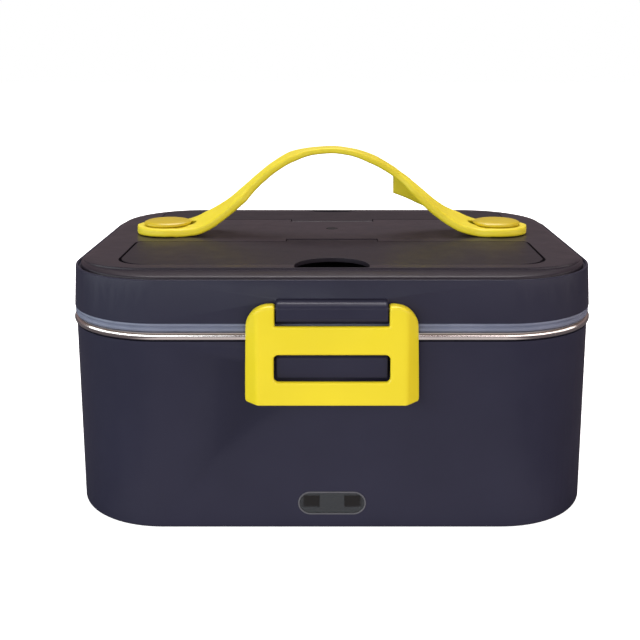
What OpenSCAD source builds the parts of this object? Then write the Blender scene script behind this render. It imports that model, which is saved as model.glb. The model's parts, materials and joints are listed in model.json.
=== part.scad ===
// Electric lunch box: a heated base, a lift-out steel container and a clamped lid with two
// cutlery compartments, two over-centre latches and a flexible carrying strap.
// X runs along the long side, the front with the indicator window faces -Y, +Z is up.
// The origin is on the standing surface, under the middle of the box.

/* [Plan size] */
// Width of the steel rim, the widest line of the box
rim_w = 240; // [220:1:260]
// Depth of the steel rim
rim_d = 180; // [170:1:195]
// Corner radius of the steel rim in plan
rim_r = 45; // [38:1:50]

/* [Heights] */
// Gap under the housing, made by the feet
foot_h = 1.2; // [0.8:0.1:2]
// Height of the outer housing
housing_h = 85.9; // [80:0.1:100]
// Height of the rolled steel rim
rim_h = 4.1; // [3:0.1:5]
// Visible height of the seal between rim and lid
seal_h = 3.4; // [2:0.1:4]
// Height of the lid skirt
skirt_h = 19.3; // [17:0.1:24]
// How far the cover plate stands above the skirt
cover_rise = 2.2; // [1.5:0.1:3]

/* [Housing] */
// Wall thickness of the moulded housing
wall = 2.5; // [2:0.1:3.5]
// How far the housing stays inside the rim on each side
housing_step = 1; // [0.5:0.1:2]
// Draft of the housing from top to bottom on each side
housing_draft = 0.85; // [0.3:0.05:2]
// Radius of the housing's bottom edge
bottom_edge_r = 2; // [1:0.1:2.4]
// Width of the ring around the base plate
bottom_ring_w = 6; // [5:0.5:8]
// Width of the ledge that the base plate is screwed against
bottom_ledge_w = 6; // [4:0.5:8]
// Thickness of the base plate
base_t = 2.5; // [2:0.1:3.5]
// Radius of a foot
foot_r = 6.5; // [5:0.5:8]
// Depth of the recess that holds a foot
foot_recess = 1; // [0.6:0.1:1.4]
// Distance of the feet from the rim's edge, along X
foot_x = 50; // [44:1:60]
// Distance of the feet from the rim's edge, along Y
foot_y = 32; // [28:1:40]
// Distance of the base screws from the rim's edge, along X
screw_x = 29; // [26:1:34]
// Distance of the base screws from the rim's edge, along Y
screw_y = 29; // [27:1:34]
// Shank radius of the base screws
screw_r = 1.45; // [1.2:0.05:1.6]
// Head radius of the base screws
screw_head_r = 2.8; // [2.4:0.1:3.2]
// Height of the base screws' heads
screw_head_h = 2.2; // [1.6:0.1:2.4]
// Length of the base screws' shanks
screw_l = 9; // [7:0.5:10]

/* [Container and well] */
// Sheet thickness of the steel container
sheet = 0.8; // [0.6:0.1:1.2]
// Overall depth of the steel container
container_h = 69.1; // [60:0.1:74]
// Width of the flat flange between rim and wall
flange_w = 13.2; // [12:0.2:16]
// Draft of the container wall from top to bottom
container_draft = 2; // [1:0.1:3]
// Radius between the container's wall and floor
container_floor_r = 10; // [6:0.5:14]
// Thickness of the moulded well around the container
well_t = 2; // [1.6:0.1:2.5]
// Air gap between container and well
well_gap = 2; // [1.5:0.1:3]
// Width of the aluminium heater plate
heater_w = 150; // [130:1:160]
// Depth of the aluminium heater plate
heater_d = 100; // [84:1:104]
// Thickness of the heater plate
heater_t = 3; // [2:0.1:4]
// How far the heater plate rests on the well floor all round
heater_lap = 9; // [6:0.5:12]
// Thickness of the heating element under the plate
element_t = 2.5; // [1.5:0.1:3.5]
// Radius of the thermostat
thermostat_r = 8; // [7:0.5:9]
// Height of the thermostat
thermostat_h = 7; // [5:0.5:8]

/* [Indicator window] */
// Width of the capsule window
window_w = 30; // [26:0.5:34]
// Height of the capsule window
window_h = 11.3; // [10.5:0.1:11.6]
// Height of the window's middle above the standing surface
window_z = 12.4; // [12.2:0.1:13]
// Width of the light ring around the lens
bezel_w = 0.7; // [0.5:0.1:1]
// Thickness of the lens
lens_t = 1.6; // [1.2:0.1:2.2]
// Distance of the two light ports from the middle
port_x = 9.3; // [8:0.1:9.5]
// Width of a light port
port_w = 7.2; // [6:0.1:8]
// Height of a light port
port_h = 5.9; // [5:0.1:6.5]

/* [Power inlet] */
// Radius of each lobe of the inlet's recess
inlet_r = 4.2; // [4:0.1:4.4]
// Distance between the two pins of the inlet
pin_pitch = 8.6; // [8.4:0.1:8.8]
// Radius of a pin
pin_r = 1.2; // [1.1:0.05:1.3]
// Depth of the inlet's recess
inlet_depth = 9.5; // [8.5:0.1:9.8]
// Wall of the inlet's moulding around the recess
inlet_wall = 1.6; // [1.2:0.1:1.8]

/* [Lid] */
// How far the skirt stays inside the rim on each side
skirt_step = 0.3; // [0:0.1:1]
// How much the skirt leans in from bottom to top
skirt_lean = 1; // [0.3:0.1:2]
// Width of the skirt's rounded top lip
lip_w = 1.3; // [1:0.1:1.8]
// Width of the groove between lip and cover
groove_w = 1; // [0.6:0.1:1.6]
// Depth of the groove
groove_depth = 1.5; // [1:0.1:2.5]
// Width of the cover's rounded shoulder
shoulder_w = 6; // [4:0.5:8]
// Thickness of the cover plate
cover_t = 2.4; // [2:0.1:3]
// Thickness of the deck under the cover
deck_t = 2; // [1.6:0.1:2.5]
// Thickness of the compartments' walls
tray_t = 1.5; // [1.2:0.1:2]
// Depth of the compartments below the deck's top
tray_depth = 12.8; // [9:0.2:13.2]
// Thickness of the inner lid
inner_t = 1.8; // [1.4:0.1:2.4]
// How far the inner lid reaches below the seal
inner_drop = 6.6; // [5:0.1:12]

/* [Flaps] */
// Half width of both flaps
flap_half_w = 96.8; // [90:0.1:98]
// Front edge of the front flap
front_flap_front = -69.2; // [-71:0.1:-66]
// Rear edge of the front flap, beside its hinge tab
front_flap_rear = -16.3; // [-18:0.1:-15]
// Front edge of the rear flap, beside its hinge tab
rear_flap_front = 48; // [46:0.1:49]
// Rear edge of the rear flap
rear_flap_rear = 74.5; // [68:0.1:76]
// Thickness of the flaps
flap_t = 2; // [1.6:0.1:2.1]
// Corner radius at the front flap's free edge
flap_r = 13; // [8:0.5:14]
// Corner radius at the rear flap's free edge
rear_flap_r = 9; // [6:0.5:10]
// Corner radius at a flap's hinge edge
flap_hinge_r = 5; // [3:0.5:6]
// Half width of the hinge tab
tab_half_w = 22.5; // [18:0.5:26]
// How far the hinge tab reaches past the flap's edge
tab_reach = 6.6; // [6:0.1:7]
// Radius of the hinge barrel
barrel_r = 2.3; // [2.1:0.05:2.4]
// Radius of the flaps' hinge pins
flap_pin_r = 0.8; // [0.6:0.05:0.9]
// Gap along the flaps' free edges
flap_gap = 0.5; // [0.4:0.1:0.7]
// Gap along the flaps' hinge edges
hinge_gap = 0.8; // [0.8:0.05:1]
// Width of the ledge that a flap closes on
ledge_w = 3.7; // [3:0.1:5]
// Radius of the front thumb scoop
scoop_r = 16.7; // [14:0.1:18]
// How far the front scoop reaches past the flap's free edge
scoop_reach = 6.5; // [4:0.1:7]
// How far the front scoop reaches into the flap
scoop_depth = 14; // [10:0.1:16]
// Radius of the rear thumb scoop
rear_scoop_r = 27; // [24:0.5:34]
// How far the rear scoop reaches past the flap's free edge
rear_scoop_reach = 4.5; // [3:0.1:4.8]
// How far the rear scoop reaches into the flap
rear_scoop_depth = 1; // [0.5:0.1:4]

/* [Latches] */
// Half width of a latch at its lower edge
latch_half_w = 38; // [34:0.5:40]
// How much narrower a latch is at its ears, on each side
latch_taper = 1; // [0:0.1:2]
// Half width of the latch's flat face
latch_face_half_w = 31.9; // [29:0.1:34]
// How far the latch's face stands out from the rim
latch_reach = 7.9; // [7.5:0.1:8.5]
// Depth of the latch's slanted sides
latch_side_depth = 6.6; // [5.5:0.1:6.8]
// Height of the latch below its pivot
latch_drop = 40.3; // [36:0.1:44]
// Thickness of the latch
latch_t = 2.4; // [2:0.1:3]
// Height of the pivot above the skirt's bottom edge
pivot_rise = 7; // [6.3:0.1:8]
// How far the pivot stands out from the rim
pivot_reach = 4.2; // [3.9:0.1:4.3]
// Radius of the latch's ears around the pivot
ear_r = 4.2; // [4:0.05:4.3]
// Height of the ears above the pivot
ear_top = 2.6; // [2.2:0.1:4]
// Radius of the latch's upper corners
ear_corner_r = 10.6; // [8:0.1:12]
// Radius of the latch's lower corners
latch_corner_r = 2.2; // [1:0.1:4]
// Radius of the ridges between the latch's face and its slanted sides
latch_ridge_r = 4; // [3.4:0.1:6]
// Half width of the gap for the lid's lug
lug_gap_half_w = 24.1; // [22:0.1:25]
// Side clearance of the lug
lug_clear = 0.5; // [0.3:0.1:0.8]
// Distance of the latch's upper edge below the pivot
panel_top_drop = 6; // [5.1:0.05:6.5]
// Radius of the lug's nose around the pivot
lug_r = 4.8; // [4.4:0.05:4.85]
// Radius of the latch pins
latch_pin_r = 1.2; // [1:0.05:1.4]
// Half width of the latch's slot
slot_half_w = 24.6; // [22:0.1:25]
// Bottom of the slot, below the pivot
slot_bottom_drop = 30.2; // [28:0.1:31]
// Height of the slot
slot_h = 11.7; // [10:0.1:13]
// Corner radius of the slot
slot_r = 2; // [1:0.1:2.5]
// How much smaller than the slot the catch is on each side
catch_clear = 0.9; // [0.6:0.1:1.4]

/* [Strap] */
// Distance of the buttons from the rim's edge
button_x = 34.6; // [33:0.1:38]
// Line of the strap's middle along Y
strap_y = 8; // [4:0.5:16]
// Radius of the strap's round ends
pad_r = 16.2; // [15:0.1:17]
// Width of the strap's legs
strap_w = 22; // [18:0.5:24]
// Width of the grip in the middle
grip_w = 14; // [13:0.5:20]
// Left end of the narrow grip, at its front edge
grip_left = -44; // [-50:0.5:-36]
// Left end of the narrow grip, at its rear edge
grip_rear_left = -17; // [-36:0.5:-10]
// Right end of the narrow grip
grip_right = 33; // [30:0.5:50]
// Length over which the grip widens into a leg
grip_taper = 10; // [4:0.5:14]
// Thickness of the strap's legs and ends
strap_t = 4; // [3:0.1:4.4]
// Thickness of the strap at its crest
grip_t = 2.8; // [2.4:0.1:4]
// How far inside the buttons the strap begins to rise
strap_rise_x = 8.9; // [8:0.1:10]
// Slope of the strap's legs in degrees
strap_slope = 41.3; // [38:0.1:46]
// Bend radius of the strap at its foot
foot_bend_r = 26; // [24:0.5:28]
// Bend radius of the strap at its crest
crest_bend_r = 52; // [46:0.5:56]
// Half length of the rigid middle of the grip
crest_half_l = 20; // [16:1:26]
// Radius of the button discs
button_r = 12.1; // [11:0.1:13]
// Thickness of the button discs
button_t = 2.4; // [1.6:0.1:2.8]
// Radius of the button stems
stem_r = 4; // [3:0.1:4.4]
// How far a pad can slide outwards
pad_travel = 10; // [8:0.5:10.5]

/* [Steam vent] */
// Place of the vent along Y
vent_y = 20; // [17:0.5:24]
// Radius of the vent plug's head
vent_head_r = 2.8; // [2.4:0.1:3.2]
// Radius of the vent plug's stem
vent_stem_r = 1.9; // [1.5:0.1:2]

/* [Clearances] */
// Gap between moving pieces that seat on each other
seat_gap = 0.3; // [0.2:0.05:0.4]
// Radial clearance of pins and stems that turn or slide
run_clear = 0.05; // [0.03:0.01:0.1]
// Side gap between fixed pieces
fit_gap = 0.2; // [0.1:0.05:0.4]

/* [Hidden] */

navy = [0.20, 0.20, 0.27];
dark_navy = [0.13, 0.13, 0.18];
yellow = [0.94, 0.84, 0.20];
strap_yellow = [0.86, 0.78, 0.22];
steel = [0.78, 0.78, 0.80];
seal_grey = [0.42, 0.45, 0.52];
smoke = [0.27, 0.29, 0.31];

fine = 96;
medium = 48;
eps = 0.01;

// Levels, counted up from the standing surface
housing_z = foot_h;
housing_top = housing_z + housing_h;
rim_z = housing_top + seat_gap;
rim_top = rim_z + rim_h;
seal_z = rim_top + seat_gap;
skirt_z = seal_z + seal_h;
skirt_top = skirt_z + skirt_h;
cover_top = skirt_top + cover_rise;
cover_under = cover_top - cover_t;
groove_z = skirt_top - groove_depth;
container_z = rim_top - container_h;
heater_z = container_z - seat_gap - heater_t;
well_floor = heater_z;
base_z = housing_z + seat_gap;
base_top = base_z + base_t;

// Outline of the housing at its top, of the skirt at its bottom and of the cover
housing_w = rim_w - 2 * housing_step;
housing_d = rim_d - 2 * housing_step;
housing_r = rim_r - housing_step;
skirt_w = rim_w - 2 * skirt_step;
skirt_d = rim_d - 2 * skirt_step;
skirt_r = rim_r - skirt_step;
cover_inset = skirt_lean + lip_w + groove_w;
cover_w = skirt_w - 2 * cover_inset;
cover_d = skirt_d - 2 * cover_inset;
cover_r = skirt_r - cover_inset;

// Container wall, as distances inwards from the rim's edge
well_out = flange_w - well_gap - well_t;
well_flange_t = 2;
well_flange_z = housing_top - seat_gap - well_flange_t;

// Flap hinges
barrel_z = cover_top - barrel_r;
front_hinge_y = front_flap_rear + tab_reach - barrel_r;
rear_hinge_y = rear_flap_front - tab_reach + barrel_r;
flap_pin_half_l = tab_half_w + 4;
tray_half_w = flap_half_w - ledge_w;
tray_floor = cover_under - tray_depth;

// Latches
pivot_z = skirt_z + pivot_rise;
pivot_y = -(rim_d / 2 + pivot_reach);
face_y = -(rim_d / 2 + latch_reach);
latch_bottom = pivot_z - latch_drop;
slot_z = pivot_z - slot_bottom_drop;
latch_pin_half_l = latch_face_half_w + 0.6;

// Strap
strap_z = cover_top + seat_gap;
strap_mid_z = strap_z + strap_t / 2;
button_mid_x = rim_w / 2 - button_x;
rise_x = button_mid_x - strap_rise_x;
leg_run = rise_x - (foot_bend_r + crest_bend_r) * sin(strap_slope);
crest_mid_z = strap_mid_z + (foot_bend_r + crest_bend_r) * (1 - cos(strap_slope))
    + leg_run * tan(strap_slope);
disc_z = strap_z + strap_t + seat_gap;
slot_inner_x = button_mid_x - stem_r - pad_travel - 0.9;
slot_outer_x = button_mid_x + stem_r + 0.9;

// Front face of the housing at a height
function housing_front(z) = -(housing_d / 2 - housing_draft * (housing_top - z) / housing_h);

// Points along an arc, from angle a0 to angle a1
function arc(c, r, a0, a1, n = 6) =
    [for (i = [0:n]) c + r * [cos(a0 + (a1 - a0) * i / n), sin(a0 + (a1 - a0) * i / n)]];

// Sweeps a profile round a rounded rectangle. The profile's x = 0 is the outline and its
// inside is at negative x, its y is the height.
module around(w, d, r) {
    for (sx = [0, 1], sy = [0, 1])
        mirror([sx, 0, 0])
            mirror([0, sy, 0])
                translate([w / 2 - r, d / 2 - r, 0])
                    rotate_extrude(angle = 90, $fn = fine)
                        translate([r, 0])
                            children();
    for (s = [0, 1]) {
        mirror([s, 0, 0])
            translate([w / 2, d / 2 - r, 0])
                rotate([90, 0, 0])
                    linear_extrude(height = d - 2 * r)
                        children();
        mirror([0, s, 0])
            translate([-(w / 2 - r), d / 2, 0])
                rotate([90, 0, 90])
                    linear_extrude(height = w - 2 * r)
                        children();
    }
}

// Rounded rectangle with true arcs
module rounded(w, d, r) {
    square([w, d - 2 * r], center = true);
    square([w - 2 * r, d], center = true);
    for (sx = [-1, 1], sy = [-1, 1])
        translate([sx * (w / 2 - r), sy * (d / 2 - r)])
            circle(r, $fn = fine);
}

module slab(w, d, r, z0, z1) {
    translate([0, 0, z0])
        linear_extrude(height = z1 - z0)
            rounded(w, d, r);
}

module capsule(w, h) {
    square([w - h, h], center = true);
    for (s = [-1, 1])
        translate([s * (w - h) / 2, 0])
            circle(h / 2, $fn = medium);
}

// Extrudes a profile of X and Z from y0 towards +Y
module along_y(y0, length) {
    translate([0, y0 + length, 0])
        rotate([90, 0, 0])
            linear_extrude(height = length)
                children();
}

// Extrudes a profile of Y and Z from x0 towards +X
module along_x(x0, length) {
    translate([x0, 0, 0])
        rotate([90, 0, 90])
            linear_extrude(height = length)
                children();
}

module rod_x(x0, x1, y, z, r) {
    translate([x0, y, z])
        rotate([0, 90, 0])
            cylinder(r = r, h = x1 - x0, $fn = medium);
}

module four(x, y) {
    for (sx = [-1, 1], sy = [-1, 1])
        translate([sx * x, sy * y, 0])
            children();
}

// Heated base

module housing_profile() {
    draft_at_ring = housing_draft * (1 - (base_top - housing_z) / housing_h);
    polygon(concat([[0, housing_top]],
        arc([-housing_draft - bottom_edge_r, housing_z + bottom_edge_r],
            bottom_edge_r, 0, -90, 6),
        [[-housing_draft - bottom_ring_w, housing_z],
         [-housing_draft - bottom_ring_w, base_top],
         [-housing_draft - bottom_ring_w - bottom_ledge_w, base_top],
         [-housing_draft - bottom_ring_w - bottom_ledge_w, base_top + wall],
         [-draft_at_ring - wall, base_top + wall],
         [-wall, housing_top]]));
    // Ledge that carries the well's flange
    polygon([[-wall / 2, well_flange_z], [-wall - 2.2, well_flange_z],
        [-wall - 2.2, well_flange_z - 2], [-wall / 2, well_flange_z - 6]]);
}

// Catch that the latch's slot closes over
module catch_block() {
    half_w = slot_half_w - catch_clear;
    bottom = slot_z + catch_clear;
    top = slot_z + slot_h - catch_clear;
    front = face_y + latch_t + seat_gap;
    back = housing_front(top) + wall / 2;
    bevel = 1.2;
    along_x(-half_w, 2 * half_w)
        polygon([[back, bottom], [front, bottom], [front, top - bevel],
            [front + bevel, top], [back, top]]);
}

module outer_housing() {
    color(navy)
        difference() {
            union() {
                around(housing_w, housing_d, housing_r)
                    housing_profile();
                catch_block();
                rotate([0, 0, 180])
                    catch_block();
            }
            translate([0, 0, window_z])
                along_y(-rim_d / 2 - 5, 12)
                    capsule(window_w, window_h);
            translate([0, 0, window_z])
                along_y(rim_d / 2 - 12, 17)
                    rounded(inlet_body_w + 2 * fit_gap, inlet_body_h + 2 * fit_gap, 3);
        }
}

base_w = housing_w - 2 * (housing_draft + bottom_ring_w + fit_gap);
base_d = housing_d - 2 * (housing_draft + bottom_ring_w + fit_gap);
base_r = housing_r - housing_draft - bottom_ring_w - fit_gap;
boss_r = 5;
boss_top = base_z + foot_recess + screw_head_h + 3.4;
head_z = base_z + 0.5;
board_w = 70;
board_d = 32;
board_t = 1.6;
board_x = -15;
board_y = rim_d / 2 - 38;
board_z = base_top + 3;
board_top = board_z + board_t;
board_posts = [for (sx = [-1, 1], sy = [-1, 1]) [board_x + sx * 29, board_y + sy * 10]];

module base_plate() {
    color(dark_navy)
        difference() {
            union() {
                slab(base_w, base_d, base_r, base_z, base_top);
                four(rim_w / 2 - screw_x, rim_d / 2 - screw_y)
                    translate([0, 0, base_z])
                        cylinder(r = boss_r, h = boss_top - base_z, $fn = medium);
                for (p = board_posts)
                    translate([p[0], p[1], base_top - eps])
                        cylinder(r = 2.5, h = board_z - base_top + eps, $fn = medium);
            }
            four(rim_w / 2 - screw_x, rim_d / 2 - screw_y) {
                translate([0, 0, base_z - 1])
                    cylinder(r = screw_head_r + fit_gap, h = head_z + screw_head_h - base_z + 1,
                        $fn = medium);
                cylinder(r = screw_r + fit_gap, h = 20, $fn = medium);
            }
            four(rim_w / 2 - foot_x, rim_d / 2 - foot_y)
                translate([0, 0, base_z - 1])
                    cylinder(r = foot_r + fit_gap, h = 1 + foot_recess, $fn = medium);
        }
}

module feet() {
    color([0.12, 0.12, 0.13])
        four(rim_w / 2 - foot_x, rim_d / 2 - foot_y)
            difference() {
                cylinder(r = foot_r, h = base_z + foot_recess, $fn = medium);
                translate([0, 0, -1])
                    cylinder(r = foot_r / 3, h = 1.5, $fn = medium);
            }
}

module base_screws() {
    color(steel)
        four(rim_w / 2 - screw_x, rim_d / 2 - screw_y)
            translate([0, 0, head_z])
                difference() {
                    union() {
                        cylinder(r = screw_head_r, h = screw_head_h, $fn = medium);
                        cylinder(r = screw_r, h = screw_head_h + screw_l, $fn = medium);
                    }
                    for (a = [0, 90])
                        rotate([0, 0, a])
                            translate([-1.6, -0.35, -1])
                                cube([3.2, 0.7, 2]);
                }
}

// The well hangs by its flange in the housing and holds the container and the heater
module well_profile() {
    floor_r = container_floor_r + well_gap;
    top = -well_out;
    bottom = -well_out - container_draft;
    z0 = well_floor - well_t;
    flange_out = -housing_step - wall - fit_gap;
    polygon([[flange_out, well_flange_z], [flange_out, well_flange_z + well_flange_t],
        [top - well_t, well_flange_z + well_flange_t], [top - well_t, well_flange_z],
        [top, well_flange_z]]);
    polygon(concat([[top, well_flange_z + eps]],
        arc([bottom - floor_r, z0 + floor_r], floor_r, 0, -90),
        arc([bottom - floor_r, z0 + floor_r], floor_r - well_t, -90, 0),
        [[top - well_t, well_flange_z + eps]]));
}

module heating_well() {
    inner_w = rim_w - 2 * (well_out + container_draft + container_floor_r + well_gap);
    inner_d = rim_d - 2 * (well_out + container_draft + container_floor_r + well_gap);
    inner_r = rim_r - well_out - container_draft - container_floor_r - well_gap;
    color(dark_navy)
        difference() {
            union() {
                around(rim_w, rim_d, rim_r)
                    well_profile();
                slab(inner_w + eps, inner_d + eps, inner_r, well_floor - well_t, well_floor);
                four(rim_w / 2 - screw_x, rim_d / 2 - screw_y)
                    translate([0, 0, boss_top])
                        cylinder(r = boss_r - 1, h = well_floor - well_t - boss_top + 1,
                            $fn = medium);
            }
            slab(heater_w - 2 * heater_lap, heater_d - 2 * heater_lap, 8, 0, well_floor + 1);
            four(rim_w / 2 - screw_x, rim_d / 2 - screw_y)
                cylinder(r = screw_r + run_clear, h = head_z + screw_head_h + screw_l + 0.5,
                    $fn = medium);
        }
}

module heater_plate() {
    color([0.80, 0.81, 0.83])
        slab(heater_w, heater_d, 12, heater_z, heater_z + heater_t);
}

element_w = heater_w - 2 * heater_lap - 14;
element_d = heater_d - 2 * heater_lap - 14;
element_z = heater_z - element_t;

module heating_element() {
    color([0.72, 0.60, 0.42])
        difference() {
            slab(element_w, element_d, 4, element_z, heater_z);
            for (s = [-1, 1])
                translate([s * (element_w / 2 - 6), 0, element_z - 1])
                    cylinder(r = 1.6, h = element_t + 2, $fn = medium);
        }
}

module thermostat() {
    color([0.16, 0.15, 0.15])
        translate([0, -6, element_z - thermostat_h])
            union() {
                translate([0, 0, 1.5])
                    cylinder(r = thermostat_r, h = thermostat_h - 1.5, $fn = medium);
                cylinder(r = thermostat_r - 1.5, h = 2, $fn = medium);
                for (s = [-1, 1])
                    translate([s * (thermostat_r + 1) - 2.5, -1.6, 2.2])
                        cube([5, 3.2, 0.8]);
            }
}

fuse_x = 30;
fuse_r = 2;

module thermal_fuse() {
    color([0.82, 0.80, 0.76])
        union() {
            rod_x(fuse_x - 6, fuse_x + 6, 12, element_z - fuse_r - 0.1, fuse_r);
            rod_x(fuse_x - 12, fuse_x + 12, 12, element_z - fuse_r - 0.1, 0.5);
        }
}

module control_board() {
    relay_h = 4.6;
    chip_h = 3;
    color([0.10, 0.36, 0.20])
        difference() {
            union() {
                translate([board_x - board_w / 2, board_y - board_d / 2, board_z])
                    cube([board_w, board_d, board_t]);
                translate([board_x - 21, board_y - 8, board_top - eps])
                    cube([14, 11, relay_h]);
                translate([board_x + 17, board_y + 2, board_top - eps])
                    cylinder(r = 3.2, h = relay_h, $fn = medium);
                translate([board_x + 1, board_y - 10, board_top - eps])
                    cube([9, 8, chip_h]);
                for (x = [-15, -9, 23, 29])
                    translate([board_x + x, board_y + 12, board_top - eps])
                        cylinder(r = 1.4, h = 2.2, $fn = medium);
            }
            for (p = board_posts)
                translate([p[0], p[1], board_z - 1])
                    cylinder(r = 1.3, h = board_t + 2, $fn = medium);
        }
}

// Indicator window in the housing's front

lens_w = window_w - 2 * bezel_w;
lens_h = window_h - 2 * bezel_w;
window_y = housing_front(window_z);
lens_y = window_y + 0.15;
frame_l = 6;
led_y = lens_y + lens_t + frame_l;

module indicator_bezel() {
    color([0.52, 0.52, 0.55])
        translate([0, 0, window_z])
            along_y(window_y - 0.25, wall)
                difference() {
                    capsule(window_w - 0.1, window_h - 0.1);
                    capsule(lens_w, lens_h);
                }
}

module indicator_lens() {
    color(smoke)
        translate([0, 0, window_z])
            along_y(lens_y, lens_t)
                capsule(lens_w - 0.1, lens_h - 0.1);
}

module indicator_frame() {
    color([0.40, 0.41, 0.43])
        translate([0, 0, window_z])
            along_y(lens_y + lens_t, frame_l)
                difference() {
                    capsule(lens_w - 0.1, lens_h - 0.1);
                    for (s = [-1, 1])
                        translate([s * port_x, 0])
                            square([port_w, port_h], center = true);
                }
}

module led_board() {
    color([0.10, 0.36, 0.20])
        translate([0, 0, window_z])
            along_y(led_y, board_t)
                rounded(lens_w - 2, lens_h - 1.4, 1.5);
}

module indicator_leds() {
    color([0.92, 0.90, 0.82])
        for (s = [-1, 1])
            translate([s * port_x, led_y, window_z])
                rotate([90, 0, 0])
                    union() {
                        cylinder(r = 2.5, h = 1, $fn = medium);
                        cylinder(r = 2, h = 2.4, $fn = medium);
                        translate([0, 0, 2.4])
                            sphere(r = 2, $fn = medium);
                    }
}

// Figure-eight power inlet in the housing's back

inlet_body_w = pin_pitch + 2 * (inlet_r + inlet_wall);
inlet_body_h = 2 * (inlet_r + inlet_wall);
inlet_face = -housing_front(window_z) + 0.1;
inlet_back = inlet_face - inlet_depth - inlet_wall;
pin_tail = 3;

module inlet_recess() {
    for (s = [-1, 1])
        translate([s * pin_pitch / 2, 0])
            circle(inlet_r, $fn = medium);
    square([pin_pitch, 1.2 * inlet_r], center = true);
}

module power_inlet() {
    flange = 2;
    color([0.09, 0.09, 0.10])
        translate([0, 0, window_z])
            difference() {
                union() {
                    along_y(inlet_back, inlet_face - inlet_back)
                        rounded(inlet_body_w, inlet_body_h, 3);
                    along_y(inlet_face - wall - 0.2 - 1.5, 1.5)
                        rounded(inlet_body_w + 2 * flange, inlet_body_h, 3);
                }
                along_y(inlet_face - inlet_depth, inlet_depth + 1)
                    inlet_recess();
                for (s = [-1, 1])
                    translate([s * pin_pitch / 2, inlet_face, 0])
                        rotate([90, 0, 0])
                            cylinder(r = pin_r, h = 30, $fn = medium);
            }
}

module inlet_pins() {
    color([0.83, 0.80, 0.66])
        for (s = [-1, 1])
            translate([s * pin_pitch / 2, inlet_face - 1.5, window_z])
                rotate([90, 0, 0])
                    cylinder(r = pin_r, h = inlet_face - 1.5 - inlet_back + pin_tail, $fn = medium);
}

// Round wire along a list of points
module wire(points, r) {
    sides = 8;
    n = len(points);
    function dir(i) = let (a = points[max(i - 1, 0)], b = points[min(i + 1, n - 1)])
        (b - a) / norm(b - a);
    function side(d) = let (u = abs(d[2]) > 0.9 ? [1, 0, 0] : [0, 0, 1], c = cross(d, u))
        c / norm(c);
    rings = [for (i = [0:n - 1]) let (d = dir(i), u = side(d), v = cross(d, u))
        for (k = [0:sides - 1])
            points[i] + r * (cos(360 * k / sides) * u + sin(360 * k / sides) * v)];
    faces = concat([[for (k = [0:sides - 1]) k]],
        [for (i = [0:n - 2]) for (k = [0:sides - 1])
            [i * sides + (k + 1) % sides, i * sides + k,
             (i + 1) * sides + k, (i + 1) * sides + (k + 1) % sides]],
        [[for (k = [0:sides - 1]) (n - 1) * sides + sides - 1 - k]]);
    polyhedron(rings, faces, convexity = 6);
}

wire_r = 0.9;
wire_gap = 0.2;
pad_z = board_top + wire_r + 0.06;
floor_z = base_top + wire_r + 0.08;
plug_y = inlet_back - pin_tail - wire_gap;
led_end_y = led_y + board_t + wire_gap;
live_route = [[-pin_pitch / 2, plug_y, window_z], [-pin_pitch / 2, plug_y - 2, window_z],
    [-6, board_y + 18.5, 11.8], [-12, board_y + 17.6, 11.2], [-20, board_y + 17.2, 11],
    [-28, board_y + 17, 11], [-35, board_y + 17, 11], [-42, board_y + 16.6, 10.8],
    [-46.5, board_y + 14, 10], [-47.2, board_y + 9, pad_z], [-47.2, board_y + 5, pad_z]];
neutral_route = [[pin_pitch / 2, plug_y, window_z], [pin_pitch / 2, plug_y - 2, window_z],
    [6, board_y + 18.5, 11.8], [11, board_y + 17.6, 11.2], [16, board_y + 17, 11],
    [17.7, board_y + 14.6, 10.2], [17.9, board_y + 10, pad_z], [17.9, board_y + 5, pad_z]];
heater_route = [[-47.2, board_y - 2, pad_z], [-47.2, board_y - 8, pad_z],
    [-47, 38, 10], [-46, 33, 11.5], [-43.5, 29.5, 13.2], [-39.5, 26.5, 14.8],
    [-34, 24.4, 15.6], [-28, 23.4, 15.64]];
fuse_route = [[17.9, board_y - 5, pad_z], [18, board_y - 11, 9.7], [19.5, 36, 10.4],
    [23, 29.5, 11.4], [28, 24.5, 12.4], [35, 20, 13.5], [41.4, 16.6, 14.3],
    [42.95, 12, 14.5]];
led_route = [[-2, board_y - 12, pad_z], [-2.2, board_y - 17.5, pad_z], [-3.2, 31, 8.4],
    [-5, 27, 6.8], [-8, 21, 5.4], [-14, 8, floor_z], [-18, -6, floor_z], [-20, -22, floor_z],
    [-20, -38, floor_z], [-18, -52, floor_z], [-12, -64, 6], [-7.5, led_end_y + 9, 8.6],
    [-5.4, led_end_y + 5, 11.2], [-5, led_end_y + 2.2, window_z], [-5, led_end_y, window_z]];

module wiring() {
    color([0.55, 0.10, 0.09])
        for (route = [live_route, neutral_route, heater_route, fuse_route, led_route])
            wire(route, wire_r);
}

// Lift-out container

bend_r = 2.5;

module container_profile() {
    wall_in = -flange_w - sheet;
    bend_x = wall_in + bend_r;
    bead_r = rim_h / 2;
    floor_x = wall_in - container_draft - container_floor_r + sheet;
    translate([-bead_r, rim_z + bead_r])
        circle(bead_r, $fn = medium);
    polygon(concat([[-bead_r, rim_top], [bend_x, rim_top]],
        arc([bend_x, rim_top - bend_r], bend_r, 90, 180, 5),
        arc([bend_x, rim_top - bend_r], bend_r - sheet, 180, 90, 5),
        [[-bead_r, rim_top - sheet]]));
    polygon(concat([[wall_in, rim_top - bend_r + eps]],
        arc([floor_x, container_z + container_floor_r], container_floor_r - sheet, 0, -90),
        [[floor_x - sheet, container_z + sheet], [floor_x - sheet, container_z]],
        arc([floor_x, container_z + container_floor_r], container_floor_r, -90, 0),
        [[wall_in + sheet, rim_top - bend_r + eps]]));
}

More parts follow.
